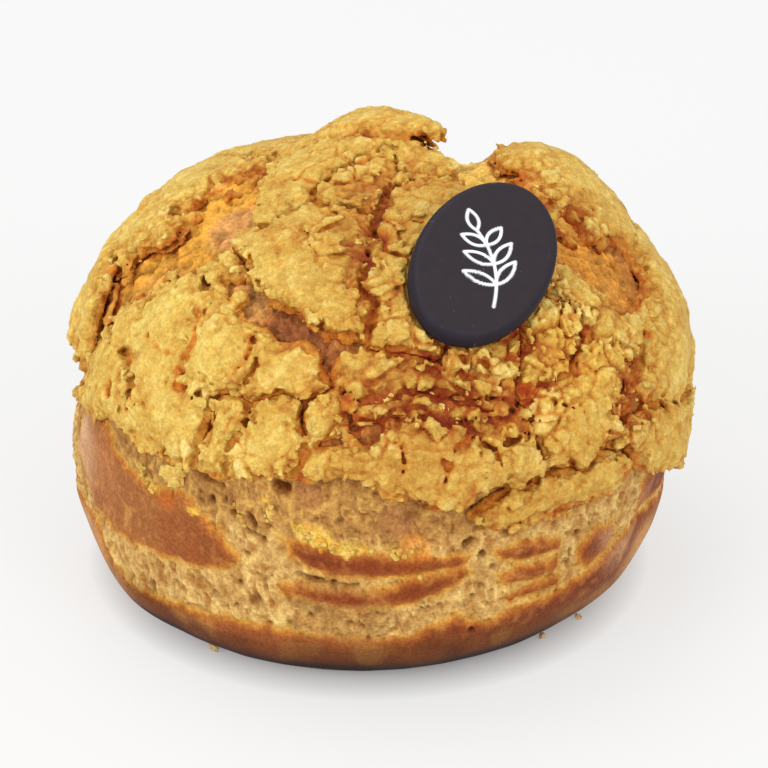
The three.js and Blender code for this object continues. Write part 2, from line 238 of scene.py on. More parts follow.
def cast_inward(tree, directions):
    """Radius at which each direction leaves the solids, and the face met there, or 0 and -1."""
    flat = directions.reshape(-1, 3)
    radius = np.zeros(len(flat), np.float32)
    face = np.full(len(flat), -1, np.int32)
    heart = Vector(HEART.tolist())
    for i, d in enumerate(flat.tolist()):
        d = Vector(d)
        _, _, met, run = tree.ray_cast(heart + d * CAST_START, -d, CAST_REACH)
        if met is not None:
            radius[i] = CAST_START - run
            face[i] = met
    return radius.reshape(directions.shape[:-1]), face.reshape(directions.shape[:-1])


# choux: a coarse chart, smoothed over the facets
ROUGH_STEP = 1.5
ROUGH_HALF = 92
rough_directions, _ = chart_directions(ROUGH_STEP, ROUGH_HALF)
choux_tree, _ = tree_of(["choux"])
rough_radius, _ = cast_inward(choux_tree, rough_directions)
rough_radius = blur(rough_radius, 1.1, rough_radius > 0)


def choux_radius(d):
    return look_up(rough_radius, chart_place(d, ROUGH_STEP, ROUGH_HALF))


# the crust's pieces and the plates in each
CRUST_GROUPS = {
    "crust_crown": ["crown_cap", "crown_left", "crown_front", "crown_right", "crown_back"],
    "crust_rim_left": ["left_rim", "left_hem"],
    "crust_left": ["valley_chip", "front_left", "front_left_edge", "front_left_upper",
                   "front_left_inner"],
    "crust_front": ["front_left_finger", "front_left_block", "front_left_wedge", "centre_upper",
                    "centre_sliver", "front_centre", "front_centre_chip", "below_plaque",
                    "front_strip"],
    "crust_right": ["beside_plaque", "right_front_upper", "right_front"],
    "crust_rim_right": ["right_shoulder", "right_rim", "right_rim_end"],
    "crust_back": ["back_left", "back_right", "back_left_upper", "back_right_upper"],
}
PLATES = ["craquelin_" + name for group in CRUST_GROUPS.values() for name in group]
# number of each plate's group; the last entry is for cells without a plate
PLATE_GROUP = np.array([k for k, group in enumerate(CRUST_GROUPS.values()) for _ in group] + [-1])

# crust: a fine chart of which plate lies where
chart_d, chart_tilt = chart_directions(CHART_STEP, CHART_HALF)
crust_tree, face_plate = tree_of(PLATES)
crust_radius, crust_face = cast_inward(crust_tree, chart_d)
chart_plate = face_plate[crust_face]


def nearest_cell(seeds):
    """For every chart cell, the index of the seed cell nearest to it, and its distance."""
    spots = (chart_d * GIRTH).reshape(-1, 3)
    size = CHART_SIZE
    own = np.arange(size * size).reshape(size, size)
    best = np.where(seeds, own, -1)
    far = np.where(seeds, 0.0, 1e9).astype(np.float32)
    # each round passes on what cells this far off have found
    for step in (64, 32, 16, 8, 4, 2, 1, 1):
        for dy in (-step, 0, step):
            for dx in (-step, 0, step):
                to_y = slice(max(0, -dy), size - max(0, dy))
                to_x = slice(max(0, -dx), size - max(0, dx))
                from_y = slice(max(0, dy), size - max(0, -dy))
                from_x = slice(max(0, dx), size - max(0, -dx))
                candidate = best[from_y, from_x]
                gap = spots[own[to_y, to_x].ravel()] - spots[candidate.ravel()]
                gap = np.sqrt(np.einsum("ij,ij->i", gap, gap)).reshape(candidate.shape)
                gap = np.where(candidate >= 0, gap, 1e9)
                better = gap < far[to_y, to_x]
                best[to_y, to_x] = np.where(better, candidate, best[to_y, to_x])
                far[to_y, to_x] = np.where(better, gap, far[to_y, to_x])
    return best, np.minimum(far, 20.0)


# distance inside a plate's border, negative outside, and the plate and group that own each cell
on_plate = chart_plate >= 0
next_plate_cell, gap_to_plate = nearest_cell(on_plate)
_, gap_to_crack = nearest_cell(~on_plate)
chart_edge = (gap_to_crack - gap_to_plate).astype(np.float32)
chart_owner = chart_plate.ravel()[next_plate_cell]
chart_group = PLATE_GROUP[chart_owner]
# how far the plates stand off the choux beyond the usual gap
even_radius = choux_radius(chart_d) + CRUST_GAP + CRUST_THICKNESS
lift = np.maximum(crust_radius - even_radius, 0.0)
chart_lift = blur(lift, 3.0, on_plate).astype(np.float32).ravel()[next_plate_cell]


def stroke_gap(strokes, d):
    """Distance to the nearest spot or stroke of [bearing, tilt, width in millimetres], below 0 inside."""
    spots = d.reshape(-1, 3) * GIRTH
    least = np.full(len(spots), 30.0, np.float32)
    for stroke in strokes:
        stroke = stroke if isinstance(stroke[0], list) else [stroke]
        places = direction([s[0] for s in stroke], [s[1] for s in stroke]) * GIRTH
        for k in range(max(len(stroke) - 1, 1)):
            after = min(k + 1, len(stroke) - 1)
            a = places[k]
            along = places[after] - a
            share = np.clip((spots - a) @ along / max(float(along @ along), 1e-6), 0.0, 1.0)
            width = stroke[k][2] + (stroke[after][2] - stroke[k][2]) * share
            gap = spots - a - share[:, None] * along
            least = np.minimum(least, np.sqrt(np.einsum("ij,ij->i", gap, gap)) - width / 2)
    return least.reshape(d.shape[:-1])


def patches(spots, d):
    """Sum of soft round patches of [bearing, tilt, height, spread in degrees]."""
    total = np.zeros(d.shape[:-1], np.float32)
    for bearing, tilt, height, spread in spots:
        total += height * np.exp(-0.5 * (angle_from(d, bearing, tilt) / spread) ** 2)
    return total


# thin cracks and pits that stop inside a plate: strokes for stroke_gap
FINE_CRACKS = [
    [[4.5, 61, 0.5], [4.5, 64.5, 0.5]],
    [[10.2, 70.8, 0.9], [11, 72, 1.2], [11.3, 73, 1.0], [10.4, 75, 0.5]],
    [[16.3, 67.5, 0.6], [15.4, 68.5, 0.9], [13.3, 69.3, 0.8], [11, 72, 0.6]],
    [[20, 71, 0.6], [20.5, 73.5, 0.6]],
    [[22.5, 52.5, 0.8], [20.7, 53.5, 0.7], [17.5, 54.5, 0.9]],
    [[15, 23, 0.7], [22, 25, 0.6]],
    [[45, 20, 0.7], [50, 20, 0.7]],
    [[-45, 38, 0.6], [-42, 39.5, 0.5]],
    [[35, 66, 0.5], [39, 68, 0.6], [40, 71, 0.5]],
    [[-57, 60, 0.5], [-51, 61, 0.6], [-46, 60.5, 0.6]],
    [[-49.4, 50.8, 0.5], [-46.4, 54.5, 0.9], [-44.7, 57.1, 0.8], [-45.6, 60.4, 0.6]],
    [[-46.3, 62.4, 0.6], [-44.6, 65.2, 0.9], [-41.6, 65.1, 0.7]],
    [[-31.4, 52.5, 0.9], [-30, 56, 0.7], [-31.6, 59.7, 0.6]],
    [[-56.8, 67.9, 0.6], [-55.3, 70.5, 1.0], [-54.5, 73.2, 0.6]],
    [[-61.8, 71.3, 0.9], [-61, 73.5, 0.6]],
    [[2.7, 67.8, 0.9], [3.4, 70.8, 0.8], [3.5, 73, 0.4]],
    [[-12, 29, 0.5], [-20, 31, 0.6], [-25, 30, 0.4]],
]
PITS = [
    [17, 54.5, 1.5], [21, 56, 1.4], [29.5, 62, 1.8], [28, 56, 1.5], [-7.5, 61.5, 1.6], [-52, 32, 1.2],
    [66.5, 63.5, 1.4], [82, 34, 1.3], [100, 29, 1.4], [[64, 48.5, 1.8], [74, 49.5, 1.6]],
    [-86, 59, 1.6], [-76, 60, 1.4], [-70, 57, 1.2], [-61.5, 71.5, 1.0], [-20, 1.5, 0.9], [-75, 19, 0.9],
]
# places beside the bare choux where the crust has crumbled away too
CRUMBLED = [
    [[-108, 25, 3.0], [-101, 32, 5.0], [-95, 36, 6.2], [-90, 41, 5.0]],
    [[-47, 45, 3.4], [-35, 47, 5.0], [-25, 49.2, 5.2], [-15, 50.4, 3.2]],
    [[-96, 34, 3.0], [-86, 39, 4.0], [-72, 44, 4.6], [-74, 49, 4.4], [-81, 54, 4.8], [-84, 58, 4.0]],
    [[-84, 55, 2.0], [-80, 59, 4.6], [-76, 63, 3.6], [-75, 68, 2.4]],
    [[-90, 58, 1.6], [-84, 58, 2.6]], [[-68, 52, 2.0], [-64, 57, 1.6]],
    [[82, 34, 2.4], [78, 40, 1.6]], [[80, 50, 2.2], [76, 57, 1.8]],
]
# patches where the crust is broken into lumps: bearing, tilt, share, spread in degrees
RUBBLE = [
    [20, 54, 0.9, 7], [36, 52, 0.9, 8], [30, 62, 0.9, 6], [6, 56, 0.5, 6], [14, 63, 0.8, 5],
    [-5, 64, 0.7, 5], [50, 56, 0.5, 7], [2, 12, 0.5, 9], [3, 30, 0.6, 8], [52, 70, 0.6, 7],
    [-84, 48, 0.5, 9], [-80, 70, 0.3, 8], [-100, 34, 0.35, 7], [80, 40, 0.7, 8], [100, 30, 0.5, 7],
    [78, 56, 0.7, 7], [38, 44, 0.8, 6], [-10, 28, 0.25, 13],
]
# patches where the crust is smoother and its cracks are finer
CALM = [
    [-56, 64, 0.8, 20], [-96, 56, 1.0, 24], [72, 64, 0.8, 18], [112, 46, 0.8, 26], [180, 60, 0.6, 50],
]
# patches of bare choux that crumbs cover, and how much of it
CRUMB_FILL = [
    [20, 55, 0.75, 7], [38, 50, 0.75, 8], [30, 62, 0.75, 5], [8, 60, 0.6, 6], [-5, 65, 0.45, 4],
    [2, 14, 0.35, 8], [-2, 30, 0.45, 7], [-4, 45, 0.5, 6], [-60, 51, 0.5, 5], [-44, 47, 0.3, 3],
    [52, 68, 0.3, 6], [-86, 48, 0.4, 5], [-78, 66, 0.45, 7], [76, 42, 0.4, 6], [90, 24, 0.2, 10],
    [-100, 34, 0.35, 6], [-70, 42, 0.12, 6], [-36, 49, 0.25, 5],
]
chart_cut = stroke_gap(FINE_CRACKS + PITS, chart_d)
chart_edge = np.minimum(chart_edge, stroke_gap(CRUMBLED, chart_d))
chart_rubble = np.clip(patches(RUBBLE, chart_d), 0.0, 1.0)
chart_calm = np.clip(patches(CALM, chart_d), 0.0, 1.0) * (1.0 - 0.6 * chart_rubble)
chart_fill = np.clip(patches(CRUMB_FILL, chart_d), 0.0, 0.9)

# ---- plaque ----
PLAQUE_LENGTH = 24.2
PLAQUE_WIDTH = 16.3
PLAQUE_HALF_THICKNESS = 1.5
PLAQUE_EDGE = 1.0
# bearing and tilt that its face looks to, and how far its long axis leans from upright
PLAQUE_FACING = [21, 32]
PLAQUE_TURN = math.radians(43)
plaque_lo, plaque_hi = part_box("chocolate_plaque")
PLAQUE_MIDDLE = np.array((plaque_lo + plaque_hi) * 0.5 * TO_MM, np.float32)
plaque_face = direction(*PLAQUE_FACING)
plaque_right = np.cross([0.0, 0.0, 1.0], plaque_face)
plaque_right /= np.linalg.norm(plaque_right)
plaque_up = np.cross(plaque_face, plaque_right)
plaque_long = plaque_up * math.cos(PLAQUE_TURN) + plaque_right * math.sin(PLAQUE_TURN)
plaque_short = np.cross(plaque_face, plaque_long)
PLAQUE_AXES = np.stack([plaque_long, plaque_short, plaque_face]).astype(np.float32)
# the chocolate on its edge, darker and bluer there as painted shade, and on its face, dust on it, and the
# drawn lines
CHOCOLATE_SHADED_EDGE_AND_FACE = [(36, 31, 41), (45, 39, 44)]
DUST_COLOUR = (150, 148, 146)
LINE_COLOUR = (236, 240, 244)


def plaque_side(points):
    """Distance outside the plaque's outline, roughly, and height over its mid-plane."""
    local = (points - PLAQUE_MIDDLE) @ PLAQUE_AXES.T
    half_long, half_short = PLAQUE_LENGTH / 2, PLAQUE_WIDTH / 2
    ring = np.hypot(local[:, 0] / half_long, local[:, 1] / half_short)
    slope = np.hypot(local[:, 0] / half_long ** 2, local[:, 1] / half_short ** 2)
    side = (ring - 1.0) * ring / np.maximum(slope, 1e-4)
    return side, local[:, 2]


def plaque_clearance(points):
    """Negative in and close to the plaque, and in the space over its face."""
    side, height = plaque_side(points)
    around = np.maximum(side, np.abs(height) - PLAQUE_HALF_THICKNESS) - 0.2
    above = np.maximum(side - 0.35, -0.4 - height)
    return np.minimum(around, above)


# ---- colours: sRGB numbers, kept linear in the meshes ----
def linear(rgb):
    value = np.asarray(rgb, np.float32) / 255.0
    return np.where(value <= 0.04045, value / 12.92, ((value + 0.055) / 1.055) ** 2.4)


def ramp_colours(level, stops):
    """Linear colours at each level, blended from stops of [level, sRGB colour]."""
    places = [stop[0] for stop in stops]
    colours = linear([stop[1] for stop in stops])
    return np.stack([np.interp(level, places, colours[:, k]) for k in range(3)], -1)


def blend_colours(colour, other, share):
    return colour + (other - colour) * np.asarray(share)[:, None]


def tint_colours(colour, factors, share):
    """Colours multiplied by a factor for each channel, as far as the share says."""
    return blend_colours(colour, colour * np.array(factors), share)


# the crust from its crevices to its raised grains; where its level follows the relief, the darker crevices
# and lighter grains are partly its own tone and partly painted shade and light
CRUST_COLOURS = [
    [0.1, (176, 116, 40)], [0.35, (201, 158, 65)], [0.5, (210, 174, 81)],
    [0.65, (218, 188, 96)], [0.9, (232, 212, 135)],
]
# places where the crust is toasted more or less, and the left rim lighter, a painted light: bearing, tilt,
# spread in degrees, tone
CRUST_TONES_AND_LIGHT = [
    [-12, 29, 17, (0.84, 0.75, 0.6)], [6, 70, 13, (0.86, 0.79, 0.71)],
    [38, 72, 14, (0.91, 0.82, 0.74)], [-84, 44, 26, (1.04, 1.08, 1.1)],
    [40, 60, 9, (1.14, 1.22, 1.17)],
]
# what the crust's colour is multiplied by; down in the cracks and in rubble the factors are partly the
# crust's own colour and partly painted shade
TOASTED = (0.95, 0.83, 0.66)
IN_HAIRLINES = (0.9, 0.5, 0.22)
CRACK_TONE_AND_SHADE = (0.95, 0.58, 0.26)
RUBBLE_TONE_AND_SHADE = (0.72, 0.46, 0.29)
# darker and warmer on the right side: painted shade, with the light from the left
PAINTED_SHADE_ON_RIGHT = (0.98, 0.94, 0.88)


# ---- meshes ----
def new_object(name, vertices, faces, paint, smooth=True):
    """Mesh object from points in millimetres, arrays of faces and a linear colour for each point."""
    mesh = bpy.data.meshes.new(name)
    vertices = np.asarray(vertices, np.float32) * MM
    mesh.vertices.add(len(vertices))
    mesh.vertices.foreach_set("co", vertices.ravel())
    faces = [part for part in faces if len(part)]
    sizes = np.concatenate([np.full(len(part), part.shape[1]) for part in faces])
    loops = np.concatenate([part.ravel() for part in faces]).astype(np.int32)
    mesh.loops.add(len(loops))
    mesh.loops.foreach_set("vertex_index", loops)
    mesh.polygons.add(len(sizes))
    starts = np.concatenate([[0], np.cumsum(sizes)[:-1]]).astype(np.int32)
    mesh.polygons.foreach_set("loop_start", starts)
    mesh.update(calc_edges=True)
    mesh.validate()
    mesh.polygons.foreach_set("use_smooth", np.full(len(mesh.polygons), smooth))
    layer = mesh.attributes.new("paint", "FLOAT_COLOR", "POINT")
    values = np.ones((len(paint), 4), np.float32)
    values[:, :3] = np.clip(paint, 0.0, 1.0)
    layer.data.foreach_set("color", values.ravel())
    return linked_object(name, mesh)


def linked_object(name, data):
    obj = bpy.data.objects.new(name, data)
    bpy.context.scene.collection.objects.link(obj)
    return obj



# the crust's field is kept between these, outside and inside
FIELD_LIMIT = 0.6
# room around the plates' box, slices of the grid done at a time, where the crust can lie:
# nearest and farthest from the heart, and lowest tilt
CRUST_MARGIN = 2.0
SLICE = 40
CRUST_RANGE = (26.0, 50.0)
LOWEST_CRUST = 98.0


def crust_relief(points, rubble, calm, edge, grain):
    """Height of the crust's surface over its even top, its small part, and its hairline cracks."""
    bent = bend(points, 0.8, 2.0, (40, 41, 42))
    slab_gap, slab_tag = cells(bent, 5.5, 1)
    lump_gap, lump_tag = cells(bent, 2.4, 2)
    grain_gap, grain_tag = grain
    lively = 1.0 - 0.45 * calm
    swell = 0.26 * noise(points, 10.0, 4) + 0.2 * noise(points, 4.5, 5)
    swell += smoothstep(22.0, 32.0, np.abs(points[:, 0] - HEART[0])) * 0.34 * lobes(points, 4.2, 76)
    step = 0.2 * smoothstep(-0.06, 0.06, noise(bent, 5.0, 14) + 0.25 * noise(points, 1.2, 15)) * lively
    # slabs of about 5 mm, raised or sunk against each other
    loose = lively * np.clip(0.2 + 0.9 * noise(points, 8.0, 6) + 1.1 * rubble, 0.0, 1.4)
    slab_crack = loose * np.exp(-(slab_gap / 0.15) ** 2)
    slab = (slab_tag - 0.5) * loose * (0.2 + 0.9 * rubble) * smoothstep(0.0, 0.15, slab_gap)
    slab -= (0.3 + 0.7 * rubble) * slab_crack
    # lumps of about 2 mm, most of them where the crust is broken
    frayed = smoothstep(2.2, 0.2, edge)
    broken = np.clip(0.1 + 0.9 * noise(points, 5.0, 7) + 0.9 * rubble + 0.5 * frayed, 0.0, 1.3) * lively
    lump_crack = broken * np.exp(-(lump_gap / 0.14) ** 2)
    lump_dome = 1.0 - (1.0 - np.clip(lump_gap / 0.85, 0.0, 1.0)) ** 2
    lump = (lump_tag - 0.5) * broken * 0.5 * smoothstep(0.0, 0.14, lump_gap) - 0.25 * lump_crack
    lump += 0.32 * broken * (lump_dome - 0.75) + 0.12 * broken * lobes(points, 1.3, 13)
    # grains under 1 mm, and a sandy roughness with pinholes
    dome = 1.0 - (1.0 - np.clip(grain_gap / 0.34, 0.0, 1.0)) ** 2
    sandy = np.clip(0.4 + 0.7 * noise(points, 3.6, 9) + 0.4 * frayed + 0.4 * rubble, 0.12, 1.1)
    sandy = sandy * (1.0 - 0.3 * calm)
    grains = sandy * (0.17 * dome + 0.28 * (grain_tag - 0.5) + 0.16 * noise(points, 0.7, 8) - 0.16)
    fine = (0.13 + 0.14 * rubble) * noise(points, 0.55, 10)
    fine -= 0.3 * smoothstep(0.62, 0.82, noise(points, 0.8, 11))
    small = 0.7 * slab + lump + grains + fine
    return swell + step + slab + lump + grains + fine, small, np.maximum(slab_crack, 0.7 * lump_crack)


def crust_field(points, group):
    """Positive inside the crust, in about millimetres; with the parts that colour it."""
    radius, d = from_heart(points)
    place = chart_place(d)
    edge = look_up(chart_edge, place)
    rubble = look_up(chart_rubble, place)
    calm = look_up(chart_calm, place)
    skin = choux_radius(d)
    base = skin + CRUST_GAP + look_up(chart_lift, place)
    grain = cells(bend(points, 0.22, 0.8, (16, 17, 18)), 0.92, 3)
    relief, small, cracked = crust_relief(points, rubble, calm, edge, grain)
    top = base + CRUST_THICKNESS + relief
    _, chip_tag = cells(points, 1.7, 22)
    # the plate's border, made ragged and crumbly
    ragged = 0.36 * noise(points, 3.4, 20) + 0.25 * (chip_tag - 0.5) + 0.5 * (grain[1] - 0.5)
    ragged += 0.45 * lobes(points, 2.3, 21) + 0.35 * lobes(points, 1.1, 24)
    ragged -= 0.25 * np.exp(-(grain[0] / 0.12) ** 2) + 0.22 * noise(points, 0.6, 77)
    ragged += 1.0 * smoothstep(20.0, 28.0, np.abs(points[:, 0] - HEART[0])) * noise(points, 2.8, 82)
    side = edge + ragged + 0.3 + 0.2 * calm
    # the top is lower where the border crumbled and along the hem
    crumbled = smoothstep(1.5, 0.3, edge) * smoothstep(0.4, 0.6, (chip_tag * 3.7) % 1.0)
    top = top - 0.55 * crumbled - 0.4 * smoothstep(2.4, 0.2, edge) * smoothstep(0.2, 0.0, d[:, 2])
    # thin cracks, which don't reach the choux
    cut = look_up(chart_cut, place) + 0.34 * noise(points, 0.9, 23)
    cut += 0.22 * noise(points, 0.4, 26) + 0.16
    crack = np.maximum(cut, base + 0.8 - radius)
    field = smooth_min(top - radius, side, 0.3)
    field = smooth_min(field, crack, 0.15)
    cracked = np.maximum(cracked, smoothstep(0.3, -0.05, cut))
    field = smooth_min(field, radius - base, 0.3)
    # crumbly bed on the floor of the cracks
    bed = skin + 0.75 + 0.35 * noise(points, 1.3, 28) + 0.5 * (grain[1] - 0.5) - radius
    bed = smooth_min(bed, edge + 0.75 + 0.7 * noise(points, 2.6, 19), 0.3)
    field = np.maximum(field, np.minimum(bed, radius - skin + 0.4))
    # crumbs that fill the gaps between the plates
    fill = look_up(chart_fill, place) + 0.3 * smoothstep(-1.6, 0.2, edge)
    crumb_gap, crumb_tag = cells(points + 0.3 * noise(points, 1.0, 27)[:, None], 2.1, 25)
    height = skin + 0.4 + 1.3 * ((crumb_tag * 7.31) % 1.0) + 0.5 * (grain[1] - 0.5)
    crumb = smooth_min(height - radius, crumb_gap - 0.1 + 0.25 * noise(points, 0.6, 78), 0.15)
    crumb = np.where(crumb_tag < fill, crumb, -FIELD_LIMIT)
    crumb = np.minimum(crumb, radius - skin + 0.4)
    loose = crumb > field
    field = np.maximum(field, crumb)
    field = np.minimum(field, plaque_clearance(points))
    field = np.where(chart_group[chart_cell(place)] == group, field, np.minimum(field, -0.3))
    depth = base + CRUST_THICKNESS - radius
    return field, d, depth, small, cracked, np.where(loose, crumb_tag, chip_tag), rubble


def crust_paint(points, group):
    """Colour of the crust: golden on top, orange to brown down in its cracks, partly its own colour and
    partly painted shade.
    """
    _, d, depth, small, cracked, tag, rubble = crust_field(points, group)
    # lighter on raised grains and darker in crevices, following the relief: partly the crust's own tone,
    # partly painted light and shade
    level = 0.56 + 0.6 * small + 0.14 * noise(points, 0.5, 60) + 0.2 * (tag - 0.5)
    level += 0.14 * noise(points, 3.5, 61)
    colour = ramp_colours(np.clip(level, 0.1, 0.86), CRUST_COLOURS)
    colour = tint_colours(colour, TOASTED, smoothstep(0.1, 0.8, noise(points, 5.5, 62)) * 0.35)
    colour = tint_colours(colour, IN_HAIRLINES, np.clip(cracked, 0.0, 1.0))
    calm = look_up(chart_calm, chart_place(d))
    # darker down in cracks and rubble: partly the crust's own colour, partly painted shade
    deep = smoothstep(0.7, 1.6, depth)
    colour = tint_colours(colour, CRACK_TONE_AND_SHADE, deep * (1.0 - 0.3 * calm))
    colour = tint_colours(colour, RUBBLE_TONE_AND_SHADE, deep * rubble * (1.0 - calm))
    # toasted places, and painted light on the left rim
    for bearing, tilt, spread, tone in CRUST_TONES_AND_LIGHT:
        colour = tint_colours(colour, tone, np.exp(-0.5 * (angle_from(d, bearing, tilt) / spread) ** 2))
    # the right side made darker: painted shade
    return tint_colours(colour, PAINTED_SHADE_ON_RIGHT, np.clip(0.5 + d[:, 0] * 0.8, 0.0, 1.0))


def crust_group(name, number, voxel):
    """One piece of the crust, meshed from its field on a grid that is filled slice by slice."""
    nodes = ["craquelin_" + plate for plate in CRUST_GROUPS[name]]
    corners = np.array([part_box(node) for node in nodes]) * TO_MM
    lo = corners[:, 0].min(0) - CRUST_MARGIN
    hi = corners[:, 1].max(0) + CRUST_MARGIN
    counts = np.ceil((hi - lo) / voxel).astype(int) + 1
    axes = [(lo[k] + voxel * np.arange(counts[k])).astype(np.float32) for k in range(3)]
    volume = np.full(counts, -FIELD_LIMIT, np.float32)
    for start in range(0, counts[0], SLICE):
        xs = axes[0][start:start + SLICE]
        grid = np.stack(np.meshgrid(xs, axes[1], axes[2], indexing="ij"), -1).reshape(-1, 3)
        radius, d = from_heart(grid)
        near = np.nonzero((radius > CRUST_RANGE[0]) & (radius < CRUST_RANGE[1]))[0]
        radius, d = radius[near], d[near]
        # the field is worked out only close to this group's crust
        place = chart_place(d)
        base = choux_radius(d) + CRUST_GAP + look_up(chart_lift, place)
        keep = (radius > base - 0.8) & (radius < base + CRUST_THICKNESS + 1.5)
        crumbly = smoothstep(0.1, 0.5, look_up(chart_fill, place))
        keep &= look_up(chart_edge, place) > -1.4 - 4.0 * crumbly
        cell = chart_cell(place)
        keep &= (chart_group[cell] == number) & (chart_tilt[cell] < LOWEST_CRUST)
        near = near[keep]
        if len(near) == 0:
            continue
        layer = np.full(len(grid), -FIELD_LIMIT, np.float32)
        layer[near] = np.clip(crust_field(grid[near], number)[0], -FIELD_LIMIT, FIELD_LIMIT)
        volume[start:start + SLICE] = layer.reshape(len(xs), counts[1], counts[2])
    level_set = openvdb.FloatGrid(FIELD_LIMIT)
    level_set.copyFromArray(-volume)
    points, triangles, quads = level_set.convertToPolygons(0.0, 0.15)
    points = (points * voxel + lo).astype(np.float32)
    faces = [triangles[:, ::-1], quads[:, ::-1]]
    piece = new_object(name, points, faces, crust_paint(points, number))
    print(name, len(triangles) + 2 * len(quads), "triangles")
    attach(piece, "root")
    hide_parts(*nodes)
    return piece


def polar_rings(ring_list, pole):
    """Mesh of rings of points, each with as many points as the ring before it or twice as many."""
    points = [pole[None, :]]
    faces3, faces4 = [], []
    start, before, before_count = 1, None, 0
    for ring in ring_list:
        count = len(ring)
        points.append(ring)
        i = np.arange(count)
        j = (i + 1) % count
        if before is None:
            faces3.append(np.stack([np.zeros(count, int), start + i, start + j], -1))
        elif before_count == count:
            faces4.append(np.stack([before + i, start + i, start + j, before + j], -1))
        else:
            k = np.arange(before_count)
            inner, inner_next = before + k, before + (k + 1) % before_count
            outer, outer_next = start + 2 * k, start + (2 * k + 2) % count
            faces3.append(np.stack([inner, outer, outer + 1], -1))
            faces3.append(np.stack([inner, outer + 1, inner_next], -1))
            faces3.append(np.stack([inner_next, outer + 1, outer_next], -1))
        before, before_count = start, count
        start += count
    return np.concatenate(points), faces3, faces4


# ---- choux ----
# browned skin that stayed whole while the choux puffed: outlines of [bearing, tilt]
SKIN = [
    [[-77, 84], [-70, 81], [-65, 81.5], [-60, 84.5], [-53, 85.8], [-46, 86.6], [-40, 84.5],
     [-36, 86], [-32, 89.5], [-27.5, 94], [-31, 96.8], [-40, 98], [-50, 99], [-59, 99.8],
     [-67, 99.6], [-73, 96], [-78, 91]],
    [[-19, 87.5], [-15, 88], [-10, 88.6], [-4, 89.5], [4, 90.2], [11, 90.6], [16, 90.8], [14, 92.5],
     [5, 93.4], [-4, 94.3], [-10, 93.6], [-16, 91.8]],
    [[-19, 97.6], [-13, 96.7], [-6, 96.8], [0, 96.3], [7, 94.4], [14, 93], [16, 94.4], [13, 96.6],
     [5, 99.4], [-4, 100.3], [-12, 99.6], [-18, 98.7]],
    [[20.5, 90.8], [24.5, 90.1], [33.2, 92], [33.4, 93.8], [27, 93.6], [21.5, 92.8]],
    [[21.8, 96.2], [25, 95.6], [33.4, 95.6], [33.8, 98], [28, 98.3], [22.6, 98.4]],
    [[23, 101], [26.4, 100.2], [34.4, 99.8], [34, 101.6], [29.6, 102], [24, 102.6]],
    [[38.6, 99], [39.4, 95], [42.5, 93.2], [46.8, 93.4], [48.4, 96], [46.2, 99.4], [41.4, 100.4]],
    [[58, 90], [66, 89.5], [76, 92], [73, 99], [60, 98]],
    [[84, 94], [104, 91], [118, 95], [104, 100], [88, 100]],
    [[126, 92], [146, 90], [160, 94], [148, 100], [130, 98]],
    [[168, 94], [-172, 91], [-156, 95], [-160, 101], [178, 101]],
    [[-146, 91], [-124, 89], [-112, 94], [-122, 100], [-142, 98]],
    [[-106, 95], [-94, 93], [-88, 97], [-98, 101]],
]
# upper edge of the browned foot: [bearing, tilt]
FOOT_EDGE = [
    [-180, 106], [-120, 106], [-80, 104], [-68, 103.5], [-64, 107], [-56, 109.4], [-44, 109],
    [-30, 107], [-10, 107.5], [0, 108.5], [6, 107.5], [10, 104.6], [13, 104.2], [18, 106.4],
    [24, 104.6], [32, 104.4], [38, 103.6], [45, 101.6], [52, 99.5], [64, 101], [90, 103],
    [130, 106], [180, 106],
]
# pits: strokes for stroke_gap
CHOUX_PITS = [
    [[15, 88.6, 1.3], [16, 88, 1.1]], [17.8, 91.2, 1.3], [[-20.2, 77.6, 1.3], [-18.4, 78, 1.5]],
    [-28.5, 85, 1.2], [[-26, 87.3, 0.8], [-22, 89, 0.7]], [-25.5, 92.5, 1.1], [-27, 99, 0.9],
    [-48, 106, 0.8], [-21.5, 106, 0.9], [16.5, 107.5, 1.0], [[37.9, 92, 1.0], [38.2, 93.4, 0.8]],
    [[36.4, 97.8, 0.8], [36.2, 98.8, 0.6]], [28.5, 85, 1.0], [-40, 77, 1.0], [-33, 83.4, 1.0],
    [[-16, 94.5, 0.7], [-10, 95.6, 0.7], [-5, 95.8, 0.6]], [[-36, 79.4, 0.8], [-31, 80.4, 0.9]],
    [-30, 82.6, 0.8], [[-25.2, 84.6, 0.9], [-23.8, 86.6, 0.8]], [-33.5, 101.5, 0.7], [-41, 103, 0.8],
    [-28, 104, 0.7], [-13.5, 103, 0.8], [-4, 105, 0.7], [7, 101.6, 0.8], [58, 79, 1.2], [80, 92, 1.3],
    [110, 88, 1.2], [140, 86, 1.4], [-140, 88, 1.3], [-160, 104, 1.1], [-84, 103, 0.9],
    [-116, 104, 1.0], [172, 88, 1.4],
]
# colour over the distance inside the browned skin, in millimetres
CHOUX_COLOURS = [
    [-3.0, (180, 126, 60)], [-1.4, (200, 150, 78)], [-0.8, (210, 164, 82)],
    [-0.3, (204, 146, 62)], [0.2, (176, 106, 44)], [0.65, (146, 76, 34)], [1.3, (124, 60, 30)],
    [4.0, (120, 58, 30)],
]
# tones of the browned skin: bearing, tilt, spread in degrees, colour, share
SKIN_TONES = [
    [-75, 90, 11, (218, 172, 130), 0.7], [-64, 90, 8, (188, 120, 68), 0.5],
    [-40, 94, 9, (146, 74, 38), 0.5], [-44, 86, 4, (196, 100, 40), 0.6],
    [-3, 97, 14, (132, 60, 29), 0.6], [52, 96, 12, (204, 158, 116), 0.65],
]
# blisters on the browned skin, the foot in front, on its sides and behind, and its mottling
VEIN_COLOUR = (212, 146, 76)
FOOT_COLOURS = [(147, 82, 41), (188, 136, 82)]
MOTTLE_COLOUR = (190, 130, 62)
